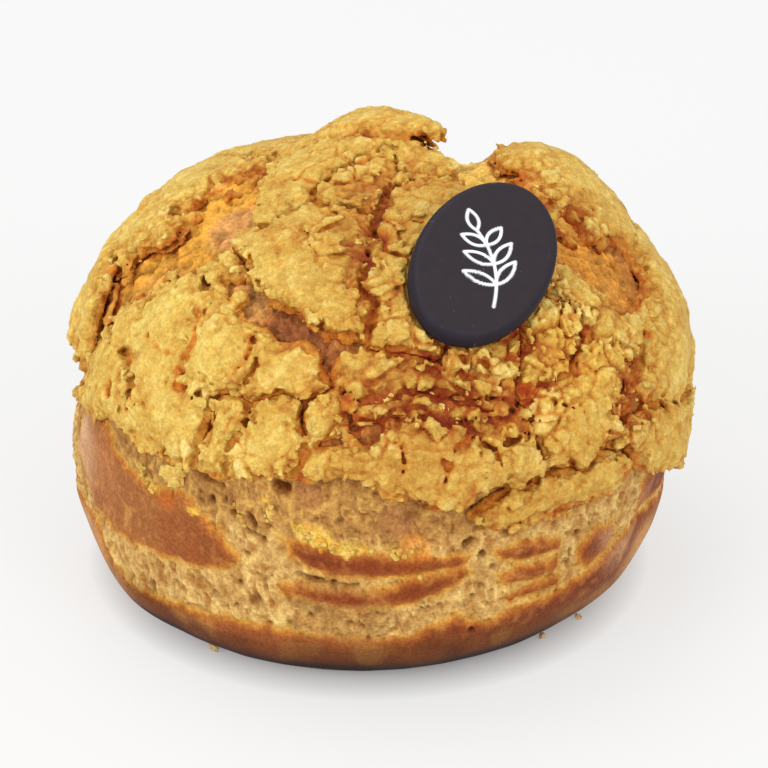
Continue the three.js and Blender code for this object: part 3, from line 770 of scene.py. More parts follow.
# the torn choux from its hollows to its threads, each low down and close under the crust
WEB_HOLLOW_COLOURS = [(162, 108, 52), (134, 86, 46)]
WEB_THREAD_COLOURS = [(232, 196, 120), (206, 158, 84)]
BUBBLE_COLOUR = (164, 108, 68)
# the choux that the crust covers, and its strip along a plate's border where the crust is rough or calm
BENEATH_COLOUR = (176, 108, 52)
BORDER_COLOURS = [(164, 84, 37), (218, 122, 44)]
# what the colour is multiplied by in pores and pits, a painted shade, and on stuck crust
SHADE_IN_PITS = (0.42, 0.26, 0.18)
STUCK = (1.14, 1.02, 0.82)
DARKEST_SHADE = (18, 16, 26)
# shade low on the foot: bearing, height where it is darkest and its reach in millimetres, strength
FOOT_SHADE = [
    [-180, 2.2, 0.6, 0.8], [-140, 2.2, 0.6, 0.8], [-90, 6.0, 0.6, 0.1], [-64, 4.9, 0.6, 0.15],
    [-53, 3.9, 0.75, 1.0], [-40, 2.6, 0.75, 1.0], [-20, 2.2, 0.9, 1.0], [3, 2.3, 1.0, 1.0],
    [18, 2.9, 1.0, 1.0], [34, 4.4, 0.85, 1.0], [50, 5.9, 0.6, 0.5], [62, 7.6, 0.6, 0.1],
    [100, 4.0, 0.6, 0.1], [140, 2.2, 0.6, 0.8], [180, 2.2, 0.6, 0.8],
]
# how much light is left at each height over the darkest place, in reaches
SHADE_STEPS = [
    [-1.2, 0.62], [-0.4, 0.14], [0.0, 0.05], [1.2, 0.17], [2.1, 0.36], [3.1, 0.46], [5.2, 0.58],
    [6.2, 0.82], [7.5, 1.0],
]
# crust that smeared and stuck to the choux: strokes for stroke_gap
SMEARS = [
    [[-15.3, 85.7, 1.6], [-12.5, 86.6, 2.2], [-10.4, 87.2, 1.7], [-6.7, 88.1, 1.5], [-3.3, 88.3, 1.0]],
    [[-22.0, 80.8, 0.8], [-21.4, 83.0, 1.2], [-21.0, 84.8, 0.7]], [[-36.4, 87, 0.8]],
    [[0.2, 87.3, 0.5], [2.7, 88.3, 0.6]], [[-51.5, 83.6, 0.6], [-49.2, 85.5, 0.7], [-47.2, 86.3, 0.6]],
]
# tints of the bare places: bearing, tilt, spread in degrees, colour, share; the dark one under the crown's
# edge at bearing -22 is partly painted shade, and the one low in front at bearing -8 is painted shade
CHOUX_TINTS_AND_SHADE = [
    [-84, 44, 24, (218, 158, 61), 0.9], [-68, 34, 9, (198, 144, 92), 0.7],
    [-40, 46, 8, (208, 154, 88), 0.8], [-22, 49, 9, (148, 88, 53), 0.85],
    [-12, 56, 6, (172, 104, 58), 0.8],
    [98, 24, 24, (242, 198, 98), 0.9], [145, 28, 24, (238, 192, 94), 0.9],
    [70, 48, 14, (212, 146, 58), 0.8], [53, 68, 8, (170, 84, 32), 0.8],
    [-64, 56, 12, (214, 156, 80), 0.7], [-86, 58, 5, (176, 94, 34), 0.7],
    [-74, 61, 4, (176, 96, 34), 0.7], [5, 88.6, 4, (214, 134, 50), 0.5],
    [-8, 102, 11, (166, 120, 64), 0.7],
]
# hollows and swells: bearing, tilt, height, spread in degrees
CHOUX_HOLLOWS = [
    [-13.9, 78.8, -0.5, 1.8], [2.5, 83, -0.5, 2.4], [-13, 86.5, 0.3, 1.3], [-8.5, 87.6, 0.3, 1.4],
    [-58, 112, 0.7, 6], [62, 103, -0.9, 6],
]
# smooth round bubbles that burst flat: bearing, tilt, radius in degrees
BUBBLES = [[-13.9, 78.8, 3.2], [2.5, 83, 4.2]]


def outline_gap(outline, d):
    """Distance inside an outline of directions, in millimetres; negative outside."""
    corners = np.array(outline, np.float32)
    middle = corners[0, 0]
    x = ((bearing_of(d) - middle + 180.0) % 360.0 - 180.0) * DEGREE
    y = tilt_of(d) * DEGREE
    px = ((corners[:, 0] - middle + 180.0) % 360.0 - 180.0) * DEGREE
    py = corners[:, 1] * DEGREE
    gap = np.full(len(d), 99.0, np.float32)
    inside = np.zeros(len(d), bool)
    for k in range(len(outline)):
        ax, ay = px[k - 1], py[k - 1]
        bx, by = px[k], py[k]
        ex, ey = bx - ax, by - ay
        share = np.clip(((x - ax) * ex + (y - ay) * ey) / (ex * ex + ey * ey), 0.0, 1.0)
        gap = np.minimum(gap, np.hypot(x - ax - ex * share, y - ay - ey * share))
        crosses = (ay > y) != (by > y)
        inside ^= crosses & (x < ax + ex * (y - ay) / (ey if abs(ey) > 1e-6 else 1e-6))
    return np.where(inside, gap, -gap)


def between_rows(rows, places, column=1):
    """Value of a table's column at each place; its first column holds the places."""
    return np.interp(places, [row[0] for row in rows], [row[column] for row in rows])


def blended(colours, share):
    """Mix of two sRGB colours, linear."""
    low, high = linear([colours[0]]), linear([colours[1]])
    return low + (high - low) * share[:, None]


def choux_surface(d):
    """Radius of the choux with its relief, and its colours."""
    radius = choux_radius(d)
    points = d * radius[:, None]
    bearing = bearing_of(d)
    tilt = tilt_of(d)
    # distance inside the browned skin
    skin = np.full(len(d), -9.0, np.float32)
    low = tilt > 72.0
    for outline in SKIN:
        skin[low] = np.maximum(skin[low], outline_gap(outline, d[low]))
    skin = np.maximum(skin, (tilt - between_rows(FOOT_EDGE, bearing)) * DEGREE)
    streaks = points * np.array([1.0, 1.0, 0.45], np.float32)
    skin = skin + 0.4 * noise(points, 4.5, 30) + 0.24 * noise(streaks, 0.8, 31)
    skin = skin + 1.3 * smoothstep(74.0, 90.0, np.abs(bearing)) * noise(points, 3.4, 83)
    skin = skin + 0.36 * noise(points, 1.9, 29) + 0.24 * noise(points, 0.9, 59)
    whole = smoothstep(-0.35, 0.9, skin)
    torn = 1.0 - whole
    # threads, fibres and pores of the torn choux, and the smooth bubbles in it
    bubble = np.zeros(len(d), np.float32)
    for middle, level, reach in BUBBLES:
        inside = angle_from(d, middle, level) + 0.4 * noise(points, 1.2, 79)
        bubble = np.maximum(bubble, smoothstep(reach, reach * 0.6, inside))
    bent = bend(points, 0.8, 2.0, (43, 44, 45))
    threads = np.exp(-(noise(bent, 1.5, 55) / 0.09) ** 2) + np.exp(-(noise(bent, 2.3, 56) / 0.07) ** 2)
    threads = np.clip(threads, 0.0, 1.0) * smoothstep(-0.5, 0.3, noise(points, 2.0, 57))
    threads = threads * (1.0 - 0.7 * bubble)
    fibre = 0.9 - 2.6 * np.abs(noise(bent * np.array([1.0, 1.0, 0.5]), 0.9, 32))
    fibre += 0.7 - 2.2 * np.abs(noise(bent, 1.6, 33))
    porous = noise(bent * np.array([0.6, 0.6, 1.0]), 0.9, 34)
    pores = smoothstep(0.5, 0.75, noise(points * np.array([0.7, 0.7, 1.0]), 0.9, 37)) * torn
    pores = np.maximum(pores, 0.8 * smoothstep(0.55, 0.75, noise(points, 0.55, 39)) * torn)
    relief = 0.42 * whole - 0.2
    relief += 0.25 * noise(points, 7.0, 35) + 0.12 * noise(points, 2.5, 36) * torn
    upper = smoothstep(74.0, 68.0, tilt)
    relief += torn * (0.12 * fibre + 0.12 * porous) * (1.0 + 1.2 * upper) * (1.0 - 0.8 * bubble)
    relief += torn * (0.16 * noise(points, 0.8, 46) + 0.08 * noise(points, 0.45, 47) + 0.12 * threads)
    relief -= 0.3 * bubble
    relief -= 0.35 * pores
    relief += patches(CHOUX_HOLLOWS, d)
    smear = stroke_gap(SMEARS, d) + 0.65 * noise(points, 1.1, 70) + 0.45 * noise(points, 0.5, 71)
    smear = smoothstep(0.2, -0.25, smear)
    relief += smear * (0.3 + 0.35 * lobes(points, 0.9, 72) + 0.3 * noise(points, 0.45, 73))
    hole = smoothstep(0.12, -0.5, stroke_gap(CHOUX_PITS, d) + 0.15 * noise(points, 0.8, 38))
    relief -= 1.3 * hole
    # the relief fades out toward the flat foot
    foot_fade = smoothstep(HEART[2] - 0.4, HEART[2] - 3.5, -points[:, 2])
    radius = radius + relief * (0.25 + 0.75 * foot_fade)
    above_floor = points[:, 2] + HEART[2]
    colour = ramp_colours(skin + 0.35 * noise(points, 1.4, 63), CHOUX_COLOURS)
    colour = blend_colours(colour, skin_colour(colour, points, d, bent, above_floor), whole)
    web, shade = web_colour(points, tilt, threads, fibre, bubble)
    colour = blend_colours(colour, web, smoothstep(-0.1, -1.0, skin) * 0.88)
    colour = blend_colours(colour, linear([BENEATH_COLOUR]) * shade, 0.8 * smoothstep(78.0, 72.0, tilt))
    # tints of the bare places, two of them painted shade
    for middle, level, spread, rgb, share in CHOUX_TINTS_AND_SHADE:
        share = torn * share * smoothstep(spread, spread * 0.55, angle_from(d, middle, level))
        colour = blend_colours(colour, linear([rgb]) * shade, share)
    place = chart_place(d)
    along_plates = smoothstep(76.0, 70.0, tilt) * smoothstep(-1.1, -0.1, look_up(chart_edge, place))
    colour = blend_colours(colour, blended(BORDER_COLOURS, look_up(chart_calm, place)), along_plates * 0.85)
    # pores and pits made darker: painted shade
    colour = tint_colours(colour, SHADE_IN_PITS, np.clip(pores * 0.6 + hole, 0.0, 1.0))
    stuck = ramp_colours(np.clip(0.62 + 0.4 * noise(points, 0.5, 75), 0.2, 0.9), CRUST_COLOURS)
    colour = blend_colours(colour, stuck * np.array(STUCK), smear)
    return radius, foot_shade(colour, points, bearing, above_floor)


def skin_colour(colour, points, d, bent, above_floor):
    """The browned skin and the foot: pale blisters, lighter and darker places, and mottling."""
    bearing = bearing_of(d)
    veins = smoothstep(0.2, 0.02, np.abs(noise(bent, 3.4, 67)))
    veins = veins * smoothstep(-0.3, 0.4, noise(points, 5.0, 68))
    veins = veins * 0.3 + 0.22 * smoothstep(0.0, 0.7, noise(points, 0.8, 69))
    left = smoothstep(-22.0, -46.0, bearing) * (np.abs(bearing) < 120.0)
    left = left * smoothstep(105.0, 100.0, tilt_of(d))
    colour = blend_colours(colour, linear([VEIN_COLOUR]), np.clip(veins + 0.3 * left, 0.0, 1.0))
    for middle, level, spread, rgb, share in SKIN_TONES:
        share = share * smoothstep(spread, spread * 0.3, angle_from(d, middle, level))
        share = share * (1.0 + 0.5 * noise(points, 2.0, 80))
        colour = blend_colours(colour, linear([rgb]), np.clip(share, 0.0, 1.0))
    sideways = smoothstep(48.0, 66.0, np.abs(bearing))
    foot = blended(FOOT_COLOURS, sideways) * (1.0 + 0.3 * noise(points, 2.6, 74))[:, None]
    mottle = 0.6 * smoothstep(0.15, 0.6, noise(points * np.array([1.0, 1.0, 0.6]), 3.2, 81))
    foot = blend_colours(foot, linear([MOTTLE_COLOUR]), mottle)
    return blend_colours(colour, foot, smoothstep(10.5, 7.0, above_floor - 3.0 * sideways))


def web_colour(points, tilt, threads, fibre, bubble):
    """The torn choux: light threads over darker hollows; and a shade for what lies between them."""
    under_hem = smoothstep(89.0, 85.0, tilt)
    web = 0.36 + 0.14 * fibre + 0.26 * noise(points, 1.3, 64) + 0.36 * noise(points, 0.6, 48)
    web = np.clip(web + (0.6 + 0.3 * under_hem) * threads, 0.0, 1.0)
    hollows, lit = blended(WEB_HOLLOW_COLOURS, under_hem), blended(WEB_THREAD_COLOURS, under_hem)
    colour = blend_colours(blend_colours(hollows, lit, web), linear([BUBBLE_COLOUR]), 0.6 * bubble)
    shade = 1.0 + 0.3 * noise(points, 1.5, 65) + 0.28 * noise(points, 0.6, 66) + 0.18 * fibre
    return colour, np.clip(shade, 0.4, 1.4)[:, None]


def foot_shade(colour, points, bearing, above_floor):
    """Soft shade low on the foot, warmer where it is light and bluish where it is darkest."""
    lowest, reach, strength = (between_rows(FOOT_SHADE, bearing, column) for column in (1, 2, 3))
    rise = (above_floor - lowest) / reach + 0.4 * noise(points, 3.0, 58)
    light = between_rows(SHADE_STEPS, rise)[:, None]
    shaded = colour * light * (1.0 - 0.1 * (1.0 - light) * np.array([0, 1, 1]))
    darkest = smoothstep(0.7, -0.1, rise) * smoothstep(-0.9, -0.3, rise)
    shaded = blend_colours(shaded, linear([DARKEST_SHADE]), darkest)
    return blend_colours(colour, shaded, strength)


def column_bearings(count):
    """Bearings of the columns, which lie closer together in front than behind."""
    bearing = -180.0 + 360.0 * np.linspace(0.0, 1.0, 20001)
    density = np.where(np.abs(bearing) < 84.0, 1.0, 0.45)
    # the change is spread over 14 degrees
    density = np.convolve(np.pad(density, 400, mode="edge"), np.ones(801) / 801, "valid")
    total = np.concatenate([[0.0], np.cumsum((density[1:] + density[:-1]) / 2)])
    total /= total[-1]
    return np.interp(np.arange(count) / count, total, bearing)


# tilt where the choux's upper piece meets its lower one
SPLIT_TILT = 71.0


def fan(start, count, tip):
    """Triangles from a ring of points to a single one."""
    i = np.arange(count)
    return np.stack([start + i, np.full(count, tip), start + (i + 1) % count], -1)


def choux_pieces():
    """The choux above and below the split, both closed inside by a cone to the bun's heart."""
    columns = 736
    # rows are this many millimetres apart on the lower piece, and half as much again on the upper
    step = 0.3
    bearings = column_bearings(columns)
    # upper piece: rings that double their columns on the way down
    rings = []
    tilt = 2.0
    while tilt < SPLIT_TILT - 0.2:
        every = 16 if tilt < 4 else 8 if tilt < 8 else 4 if tilt < 17 else 2 if tilt < 35 else 1
        rings.append(direction(bearings[::every], np.full(columns // every, tilt)))
        tilt += math.degrees(1.5 * step / GIRTH)
    rings.append(direction(bearings, np.full(columns, SPLIT_TILT)))
    d = np.concatenate([direction(0, 0)[None, :]] + rings)
    radius, paint = choux_surface(d)
    points = HEART + d * radius[:, None]
    split = np.split(points[1:], np.cumsum([len(ring) for ring in rings])[:-1])
    vertices, faces3, faces4 = polar_rings(split, points[0])
    faces3.append(fan(len(vertices) - columns, columns, len(vertices)))
    vertices = np.concatenate([vertices, HEART[None, :]])
    paint = np.concatenate([paint, paint[-1:]])
    faces = [np.concatenate(faces3), np.concatenate(faces4)]
    upper = new_object("choux_upper", vertices, faces, paint)
    # lower piece: rows from the split down to the floor, then across the flat foot
    tilts = np.arange(SPLIT_TILT, 150.0, 0.25)
    wide = direction(np.repeat(bearings, len(tilts)), np.tile(tilts, columns))
    height = HEART[2] + (choux_radius(wide) * wide[:, 2]).reshape(columns, -1)
    floor_tilt = np.array([np.interp(0.0, -height[k], tilts) for k in range(columns)])
    rows = int(round(34.0 / step))
    grid_tilt = SPLIT_TILT + (floor_tilt - SPLIT_TILT)[None, :] * np.linspace(0, 1, rows)[:, None]
    d = direction(np.tile(bearings, (rows, 1)), grid_tilt).reshape(-1, 3)
    radius, paint = choux_surface(d)
    points = (HEART + d * radius[:, None]).reshape(rows, columns, 3)
    # the relief stays over the floor, and the last row lies on it
    points[:, :, 2] = np.maximum(points[:, :, 2], 0.02)
    points[-1, :, 2] = 0.0
    middle = points[-1].mean(0)
    inner = [middle + (points[-1] - middle) * share for share in (0.985, 0.95, 0.85, 0.6, 0.3)]
    vertices = np.concatenate([points.reshape(-1, 3)] + inner + [middle[None, :], HEART[None, :]])
    rows += len(inner)
    a = np.arange(rows - 1)[:, None] * columns
    i = np.arange(columns)[None, :]
    j = (i + 1) % columns
    quads = np.stack([a + i, a + columns + i, a + columns + j, a + j], -1).reshape(-1, 4)
    foot = fan((rows - 1) * columns, columns, rows * columns)
    lid = fan(0, columns, rows * columns + 1)[:, ::-1]
    paint = np.concatenate([paint, np.repeat(paint[-1:], len(vertices) - len(d), 0)])
    lower = new_object("choux_lower", vertices, [np.concatenate([foot, lid]), quads], paint)
    for piece in (upper, lower):
        print(piece.name, sum(len(p.vertices) - 2 for p in piece.data.polygons), "triangles")
        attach(piece, "root")
        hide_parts("choux")
    return upper, lower


def curve_points(start, pull, end, count):
    """Points of a curve in the plane that is pulled toward a point between its ends."""
    t = np.linspace(0.0, 1.0, count)[:, None]
    start, pull, end = (np.array(p, np.float32) for p in (start, pull, end))
    return start * (1 - t) ** 2 + 2 * pull * t * (1 - t) + end * t ** 2


def sprig_curves():
    """A plain sprig: a bent stem, pairs of outlined leaves that shrink upward, and a leaf at its tip."""
    stem = curve_points((-1.3, -6.8), (1.9, -1.2), (0.2, 3.8), 24)
    curves = [stem]
    for share, length in ((0.26, 4.2), (0.52, 3.8), (0.78, 3.2), (1.0, 3.0)):
        at = stem[int(round(share * (len(stem) - 1)))]
        for lean in ((-52, 52) if share < 1.0 else (0,)):
            along = np.array([math.sin(math.radians(lean)), math.cos(math.radians(lean))])
            across = np.array([along[1], -along[0]])
            tip = at + along * length
            for side in (-1, 1):
                curves.append(curve_points(at, at + along * length * 0.45 + across * side * 1.35, tip, 12))
    return curves


def sprig_gap(flat):
    """Distance from the middle of the sprig's lines, in the plaque's plane."""
    least = np.full(len(flat), 9.0, np.float32)
    for curve in sprig_curves():
        for a, b in zip(curve[:-1], curve[1:]):
            along = b - a
            share = np.clip((flat - a) @ along / max(float(along @ along), 1e-9), 0.0, 1.0)
            gap = flat - a - share[:, None] * along
            least = np.minimum(least, np.hypot(gap[:, 0], gap[:, 1]))
    return least


def plaque_piece():
    """The plaque: an oval with a rounded edge and raised lines, made flat and then set on the bun."""
    columns = 336
    half = PLAQUE_HALF_THICKNESS
    angles = np.arange(columns) * 2 * math.pi / columns
    outline = np.stack([np.cos(angles) * PLAQUE_LENGTH / 2, np.sin(angles) * PLAQUE_WIDTH / 2], -1)
    normal = np.stack([np.cos(angles) * PLAQUE_WIDTH, np.sin(angles) * PLAQUE_LENGTH], -1)
    normal /= np.linalg.norm(normal, axis=1)[:, None]
    core = outline - normal * PLAQUE_EDGE

    def ring(flat, level):
        return np.column_stack([flat, np.full(columns, level)])

    rings = [ring(core * share, half) for share in np.linspace(0.02, 0.99, 54)]
    # a quarter round over each face's rim
    for first, last, centre in ((90, 0, half - PLAQUE_EDGE), (0, -90, PLAQUE_EDGE - half)):
        for turn in np.radians(np.linspace(first, last, 9)):
            out = core + normal * PLAQUE_EDGE * math.cos(turn)
            rings.append(ring(out, centre + PLAQUE_EDGE * math.sin(turn)))
    rings += [ring(core * share, -half) for share in (0.8, 0.5, 0.2)]
    vertices, faces3, faces4 = polar_rings(rings, np.array([0.0, 0.0, half]))
    faces3.append(fan(len(vertices) - columns, columns, len(vertices)))
    vertices = np.concatenate([vertices, [[0.0, 0.0, -half]]]).astype(np.float32)
    face = smoothstep(half - 0.25, half - 0.02, vertices[:, 2])
    sin, cos = math.sin(PLAQUE_TURN), math.cos(PLAQUE_TURN)
    upright = np.array([[sin, cos], [-cos, sin]], np.float32)
    line = smoothstep(0.25, 0.12, sprig_gap(vertices[:, :2] @ upright)) * face
    dust = smoothstep(0.84, 0.9, noise(vertices, 0.3, 51)) * 0.2
    # edge darker than the face: painted shade
    paint = blended(CHOCOLATE_SHADED_EDGE_AND_FACE, face)
    paint = blend_colours(paint, linear([DUST_COLOUR]), dust)
    paint = blend_colours(paint, linear([LINE_COLOUR]), line)
    vertices[:, 2] += 0.05 * noise(vertices, 6.0, 50) * (vertices[:, 2] > 0) + 0.07 * line
    vertices = PLAQUE_MIDDLE + vertices @ PLAQUE_AXES
    plaque = new_object("plaque", vertices, [np.concatenate(faces3), np.concatenate(faces4)], paint)
    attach(plaque, "root")
    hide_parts("chocolate_plaque")
    return plaque


# ---- loose crumbs ----
# strays seen on the choux below the crust: bearing, tilt, size in millimetres
STRAY_CRUMBS = [
    [-42.2, 81.2, 2.6], [-43.2, 82.0, 1.8], [-41.0, 82.2, 1.9], [-42.4, 80.0, 1.7], [-40.6, 80.8, 1.4],
    [-51.6, 83.4, 0.9], [-50.2, 84.6, 0.8], [-48.8, 85.6, 0.7], [-47.0, 86.4, 0.7], [-50.4, 83.6, 0.6],
    [6.5, 94, 0.9], [35, 86.5, 1.0], [49, 86, 0.9], [-31, 63, 2.2],
]
# crumb strips along lines of [bearing, tilt]: start, end, count
CRUMB_STRIPS = [
    [[-22, 81], [-21, 84.6], 5], [[-15.6, 85.4], [-11.4, 87], 12], [[-11.4, 87], [-5, 88], 10],
    [[-5, 88], [5, 89.4], 12], [[-29, 84], [-24, 88], 4], [[44, 93], [52, 88], 6],
]
# crumbs that lie on the floor: place from the bun's heart in millimetres, size
FLOOR_CRUMBS = [[-21.0, -25.5, 1.3], [19.6, -22.4, 1.0], [24.4, -17.9, 0.9]]
FLOOR_CRUMB_COLOUR = (206, 178, 132)
# crumbs strewn over the borders of the plates
BORDER_CRUMBS = 240


def crumb_shape(centre, outward, size, number):
    """One knobbly crumb, flatter along `outward`; its number decides its shape."""
    rows, columns = 5, 8
    turn = np.arange(columns) * 2 * math.pi / columns
    level = np.linspace(0.0, math.pi, rows + 2)
    d = [[0.0, 0.0, 1.0]]
    for angle in level[1:-1]:
        for t in turn:
            d.append([math.sin(angle) * math.cos(t), math.sin(angle) * math.sin(t), math.cos(angle)])
    d.append([0.0, 0.0, -1.0])
    d = np.array(d, np.float32)
    reach = 1.0 + 0.55 * noise(d + 3.1 * number, 0.9, 52) + 0.3 * noise(d, 0.4, 53 + number % 7)
    reach = 0.5 * size * reach
    across = np.cross(outward, [0.31, 0.22, 0.92])
    across /= np.linalg.norm(across)
    axes = np.stack([across, np.cross(outward, across), outward]).astype(np.float32)
    points = centre + (d * reach[:, None] * np.array([1.0, 0.85, 0.75])) @ axes
    faces = []
    for k in range(columns):
        after = (k + 1) % columns
        faces.append([0, 1 + k, 1 + after])
        for row in range(rows - 1):
            a, b = 1 + row * columns + k, 1 + row * columns + after
            faces.append([a, a + columns, b + columns])
            faces.append([a, b + columns, b])
        low = 1 + (rows - 1) * columns
        faces.append([low + k, len(d) - 1, low + after])
    return points, np.array(faces, np.int32)


def crumbs_piece(pieces):
    """Stray crumbs, set down on the finished crust and choux."""
    points, faces = [], []
    for piece in pieces:
        start = len(points)
        points += [v.co * TO_MM for v in piece.data.vertices]
        faces += [[start + i for i in face.vertices] for face in piece.data.polygons]
    ground = BVHTree.FromPolygons(points, faces)
    random = np.random.RandomState(5)
    wanted = [list(crumb) for crumb in STRAY_CRUMBS]
    for start, end, count in CRUMB_STRIPS:
        for share in random.uniform(0, 1, count):
            bearing = start[0] + (end[0] - start[0]) * share + random.normal(0.0, 0.7)
            tilt = start[1] + (end[1] - start[1]) * share + random.normal(0.0, 0.7)
            wanted.append([bearing, tilt, random.uniform(0.3, 0.8)])
    borders = np.argwhere((np.abs(chart_edge) < 0.9) & (chart_tilt < 88))
    for row, column in borders[random.randint(0, len(borders), BORDER_CRUMBS)]:
        d = chart_d[row, column]
        bearing = math.degrees(math.atan2(d[0], -d[1]))
        wanted.append([bearing, float(chart_tilt[row, column]), random.uniform(0.45, 1.05)])
    crumbs = []
    heart = Vector(HEART.tolist())
    for number, (bearing, tilt, size) in enumerate(wanted):
        d = Vector(direction(bearing, tilt).tolist())
        spot, normal = ground.ray_cast(heart + d * CAST_START, -d, CAST_REACH)[:2]
        if spot is None:
            continue
        # none on the plaque or under its rim
        side, height = plaque_side(np.array([spot], np.float32))
        if side[0] < size and height[0] > -3.0:
            continue
        centre = np.array(spot + normal * size * 0.22, np.float32)
        centre[2] = max(centre[2], 0.55 * size)
        shape, faces = crumb_shape(centre, np.array(normal), size, number)
        level = 0.5 + 0.5 * (noise(shape, 0.6, 54) * 0.5 + random.uniform(-0.35, 0.35))
        crumbs.append((shape, faces, ramp_colours(np.clip(level, 0.2, 0.9), CRUST_COLOURS)))
    for number, (x, y, size) in enumerate(FLOOR_CRUMBS):
        centre = np.array([HEART[0] + x, HEART[1] + y, 0.5 * size], np.float32)
        shape, faces = crumb_shape(centre, np.array([0.0, 0.0, 1.0]), size, number)
        shape[:, 2] = np.maximum(shape[:, 2], 0.0)
        crumbs.append((shape, faces, np.repeat(linear([FLOOR_CRUMB_COLOUR]), len(shape), 0)))
    shapes, faces, paint = zip(*crumbs)
    faces = np.concatenate([part + k * len(shapes[0]) for k, part in enumerate(faces)])
    print("loose_crumbs", len(crumbs), "crumbs")
    crumbs = new_object("loose_crumbs", np.concatenate(shapes), [faces], np.concatenate(paint), False)
    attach(crumbs, "root")
    return crumbs


# ---- materials ----
def new_material(name, roughness, specular):
    material = bpy.data.materials.new(name)
    material.use_nodes = True
    tree = material.node_tree
    tree.nodes.clear()
    out = tree.nodes.new("ShaderNodeOutputMaterial")
    shader = tree.nodes.new("ShaderNodeBsdfPrincipled")
    tree.links.new(shader.outputs[0], out.inputs[0])
    shader.inputs["Roughness"].default_value = roughness
    shader.inputs["Specular IOR Level"].default_value = specular
    return material, tree, shader


def add(tree, kind, inputs=None, **settings):
    """A new shader node; each input is linked if a socket is given, and set otherwise."""
    node = tree.nodes.new("ShaderNode" + kind)
    for key, value in settings.items():
        setattr(node, key, value)
    for key, value in (inputs or {}).items():
        if isinstance(value, bpy.types.NodeSocket):
            tree.links.new(value, node.inputs[key])
        else:
            node.inputs[key].default_value = value
    return node


def between(tree, value, low, high, to_low, to_high):
    """Carry a value's range over to another one, and keep it in there."""
    node = add(tree, "MapRange", {"Value": value, "From Min": low, "From Max": high,
                                  "To Min": to_low, "To Max": to_high})
    return node.outputs["Result"]


def mix(tree, share, a, b, blend="MIX"):
    return add(tree, "Mix", {0: share, 6: a, 7: b}, data_type="RGBA", blend_type=blend).outputs[2]


def math_node(tree, operation, a, b):
    return add(tree, "Math", {0: a, 1: b}, operation=operation).outputs[0]


def noise_node(tree, size_mm, detail=2.0):
    where = add(tree, "TexCoord").outputs["Object"]
    scale = TO_MM / size_mm
    return add(tree, "TexNoise", {"Vector": where, "Scale": scale, "Detail": detail}).outputs["Fac"]


def grain_tone(tree, size_mm):
    """A number from 0 to 1 for each sugary grain of the crust; the grains' borders are bent."""
    where = add(tree, "TexCoord").outputs["Object"]
    shift = add(tree, "TexNoise", {"Vector": where, "Scale": 0.8 * TO_MM / size_mm, "Detail": 2.0})
    shift = add(tree, "VectorMath", {0: shift.outputs["Color"], 1: (0.5, 0.5, 0.5)}, operation="SUBTRACT")
    shift = add(tree, "VectorMath", {0: shift.outputs["Vector"], "Scale": 1.4 * MM * size_mm},
                operation="SCALE")
    where = add(tree, "VectorMath", {0: where, 1: shift.outputs["Vector"]}, operation="ADD")
    cell = add(tree, "TexVoronoi", {"Vector": where.outputs["Vector"], "Scale": TO_MM / size_mm})
    return add(tree, "SeparateColor", {"Color": cell.outputs["Color"]}).outputs["Red"]


def tinted_paint(tree, red, green, blue):
    """The colours in the mesh, multiplied by a factor for each channel."""
    paint = add(tree, "Attribute", attribute_name="paint").outputs["Color"]
    shade = add(tree, "CombineColor", {"Red": red, "Green": green, "Blue": blue})
    return mix(tree, 1.0, paint, shade.outputs["Color"], "MULTIPLY")


def roughen(tree, shader, height, strength, distance_mm):
    bump = add(tree, "Bump", {"Height": height, "Strength": strength, "Distance": distance_mm * MM})
    tree.links.new(bump.outputs["Normal"], shader.inputs["Normal"])


def craquelin_material():
    """Crust: grains and specks in its tone, darker ones more orange, with a fine grain."""
    material, tree, shader = new_material("craquelin_crust", 0.7, 0.3)
    light = between(tree, noise_node(tree, 0.36, 4.0), 0.3, 0.7, 0.82, 1.14)
    light = math_node(tree, "MULTIPLY", light, between(tree, grain_tone(tree, 0.5), 0.0, 1.0, 0.88, 1.12))
    light = math_node(tree, "MULTIPLY", light, between(tree, noise_node(tree, 1.5), 0.35, 0.65, 0.93, 1.06))
    red = between(tree, light, 0.6, 1.3, 0.69, 1.23)
    blue = between(tree, light, 0.6, 1.3, 0.46, 1.42)
    colour = tinted_paint(tree, red, light, blue)
    warm = between(tree, noise_node(tree, 0.8, 3.0), 0.4, 0.72, 0.0, 0.55)
    colour = mix(tree, warm, colour, mix(tree, 1.0, colour, (0.98, 0.83, 0.6, 1.0), "MULTIPLY"))
    tree.links.new(colour, shader.inputs["Base Color"])
    height = math_node(tree, "ADD", noise_node(tree, 0.55, 3.0), noise_node(tree, 0.26))
    roughen(tree, shader, height, 0.9, 0.22)
    return material


def plain_material(name, roughness, specular, speck, levels, grain, strength, distance_mm):
    """Choux or chocolate: specks of [size, detail] between two [noise, light] levels, and a fine grain."""
    material, tree, shader = new_material(name, roughness, specular)
    light = between(tree, noise_node(tree, *speck), *levels)
    tree.links.new(tinted_paint(tree, light, light, light), shader.inputs["Base Color"])
    roughen(tree, shader, noise_node(tree, *grain), strength, distance_mm)
    return material


# ---- stage ----
def aimed_object(name, data, place, target):
    obj = linked_object(name, data)
    obj.location = place
    obj.rotation_euler = (target - place).to_track_quat("-Z", "Y").to_euler()
    return obj


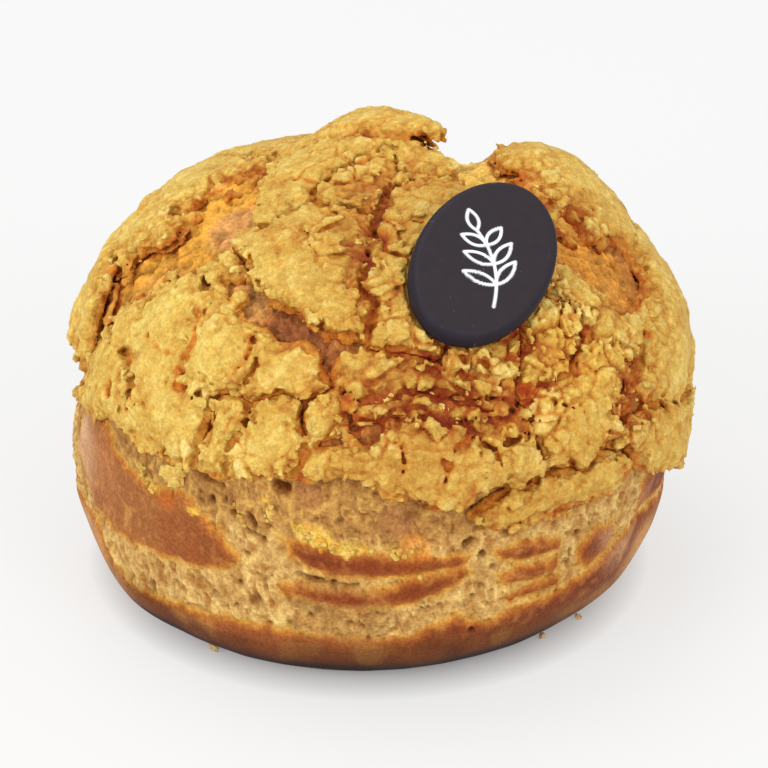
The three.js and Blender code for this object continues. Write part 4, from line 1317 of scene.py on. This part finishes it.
def stage():
    bpy.ops.mesh.primitive_plane_add(size=8.0, location=(0.0, 0.0, 0.0))
    floor = bpy.context.object
    floor.name = "floor"
    material, tree, shader = new_material("pale_floor", 0.9, 0.0)
    shader.inputs["Base Color"].default_value = (0.26, 0.262, 0.264, 1.0)
    # the floor glows, a painted light, and glows less close to the foot, where the photo has a soft shadow:
    # a painted shadow
    where = add(tree, "TexCoord").outputs["Object"]
    foot_middle = (-1.6 * MM, 0.0, 0.0)
    away = add(tree, "VectorMath", {0: where, 1: foot_middle}, operation="DISTANCE").outputs["Value"]
    glow = between(tree, away, 29.5 * MM, 36.5 * MM, 0.2, 0.62)
    shader.inputs["Emission Color"].default_value = (1.0, 1.0, 0.995, 1.0)
    tree.links.new(glow, shader.inputs["Emission Strength"])
    floor.data.materials.append(material)

    world = bpy.data.worlds.new("soft_room")
    bpy.context.scene.world = world
    world.use_nodes = True
    background = world.node_tree.nodes["Background"]
    background.inputs["Color"].default_value = (1.0, 1.0, 1.0, 1.0)
    background.inputs["Strength"].default_value = 0.75

    # name, place, size, power, colour
    for name, place, size, power, colour in (
        ("key_light", (-0.6, -0.6, 0.45), 0.6, 4.1, (1.0, 0.99, 0.97)),
        ("front_light", (0.55, -0.65, 0.45), 0.6, 3.2, (1.0, 0.99, 0.97)),
        ("top_light", (-0.2, 0.25, 0.85), 0.7, 2.3, (1.0, 0.99, 0.98)),
    ):
        light = bpy.data.lights.new(name, "AREA")
        light.shape = "DISK"
        light.size = size
        light.energy = power
        light.color = colour
        aimed_object(name, light, Vector(place), Vector((0.0, 0.0, 25.0 * MM)))


def camera():
    """Camera where the photo was taken from: in front, 28 degrees up."""
    target = Vector((0.35 * MM, -0.06 * MM, 24.0 * MM))
    rise = math.radians(28.0)
    away = 420.0 * MM
    data = bpy.data.cameras.new("camera")
    data.lens = 155.0
    data.sensor_width = 36.0
    data.clip_start = 0.01
    place = target + Vector((0.0, -math.cos(rise) * away, math.sin(rise) * away))
    bpy.context.scene.camera = aimed_object("camera", data, place, target)


stage()
camera()
scene = bpy.context.scene
scene.view_settings.view_transform = "Standard"
scene.view_settings.look = "None"

crust_look = craquelin_material()
choux_look = plain_material("choux_skin", 0.5, 0.05, (0.4, 4.0), (0.32, 0.68, 0.74, 1.2),
                            (0.36, 4.0), 0.7, 0.3)
chocolate_look = plain_material("dark_chocolate", 0.55, 0.15, (1.2, 3.0), (0.35, 0.65, 0.94, 1.04),
                                (0.5, 2.0), 0.08, 0.1)
pieces = list(choux_pieces())
for piece in pieces:
    piece.data.materials.append(choux_look)
# the crust's grid is coarser where it is blurred in the photo or out of sight
voxel_size = 0.25
for number, name in enumerate(CRUST_GROUPS):
    coarser = 1.55 if name == "crust_back" else 1.2 if "rim" in name else 1.0
    pieces.append(crust_group(name, number, voxel_size * coarser))
    pieces[-1].data.materials.append(crust_look)
plaque_piece().data.materials.append(chocolate_look)
crumbs_piece(pieces).data.materials.append(crust_look)
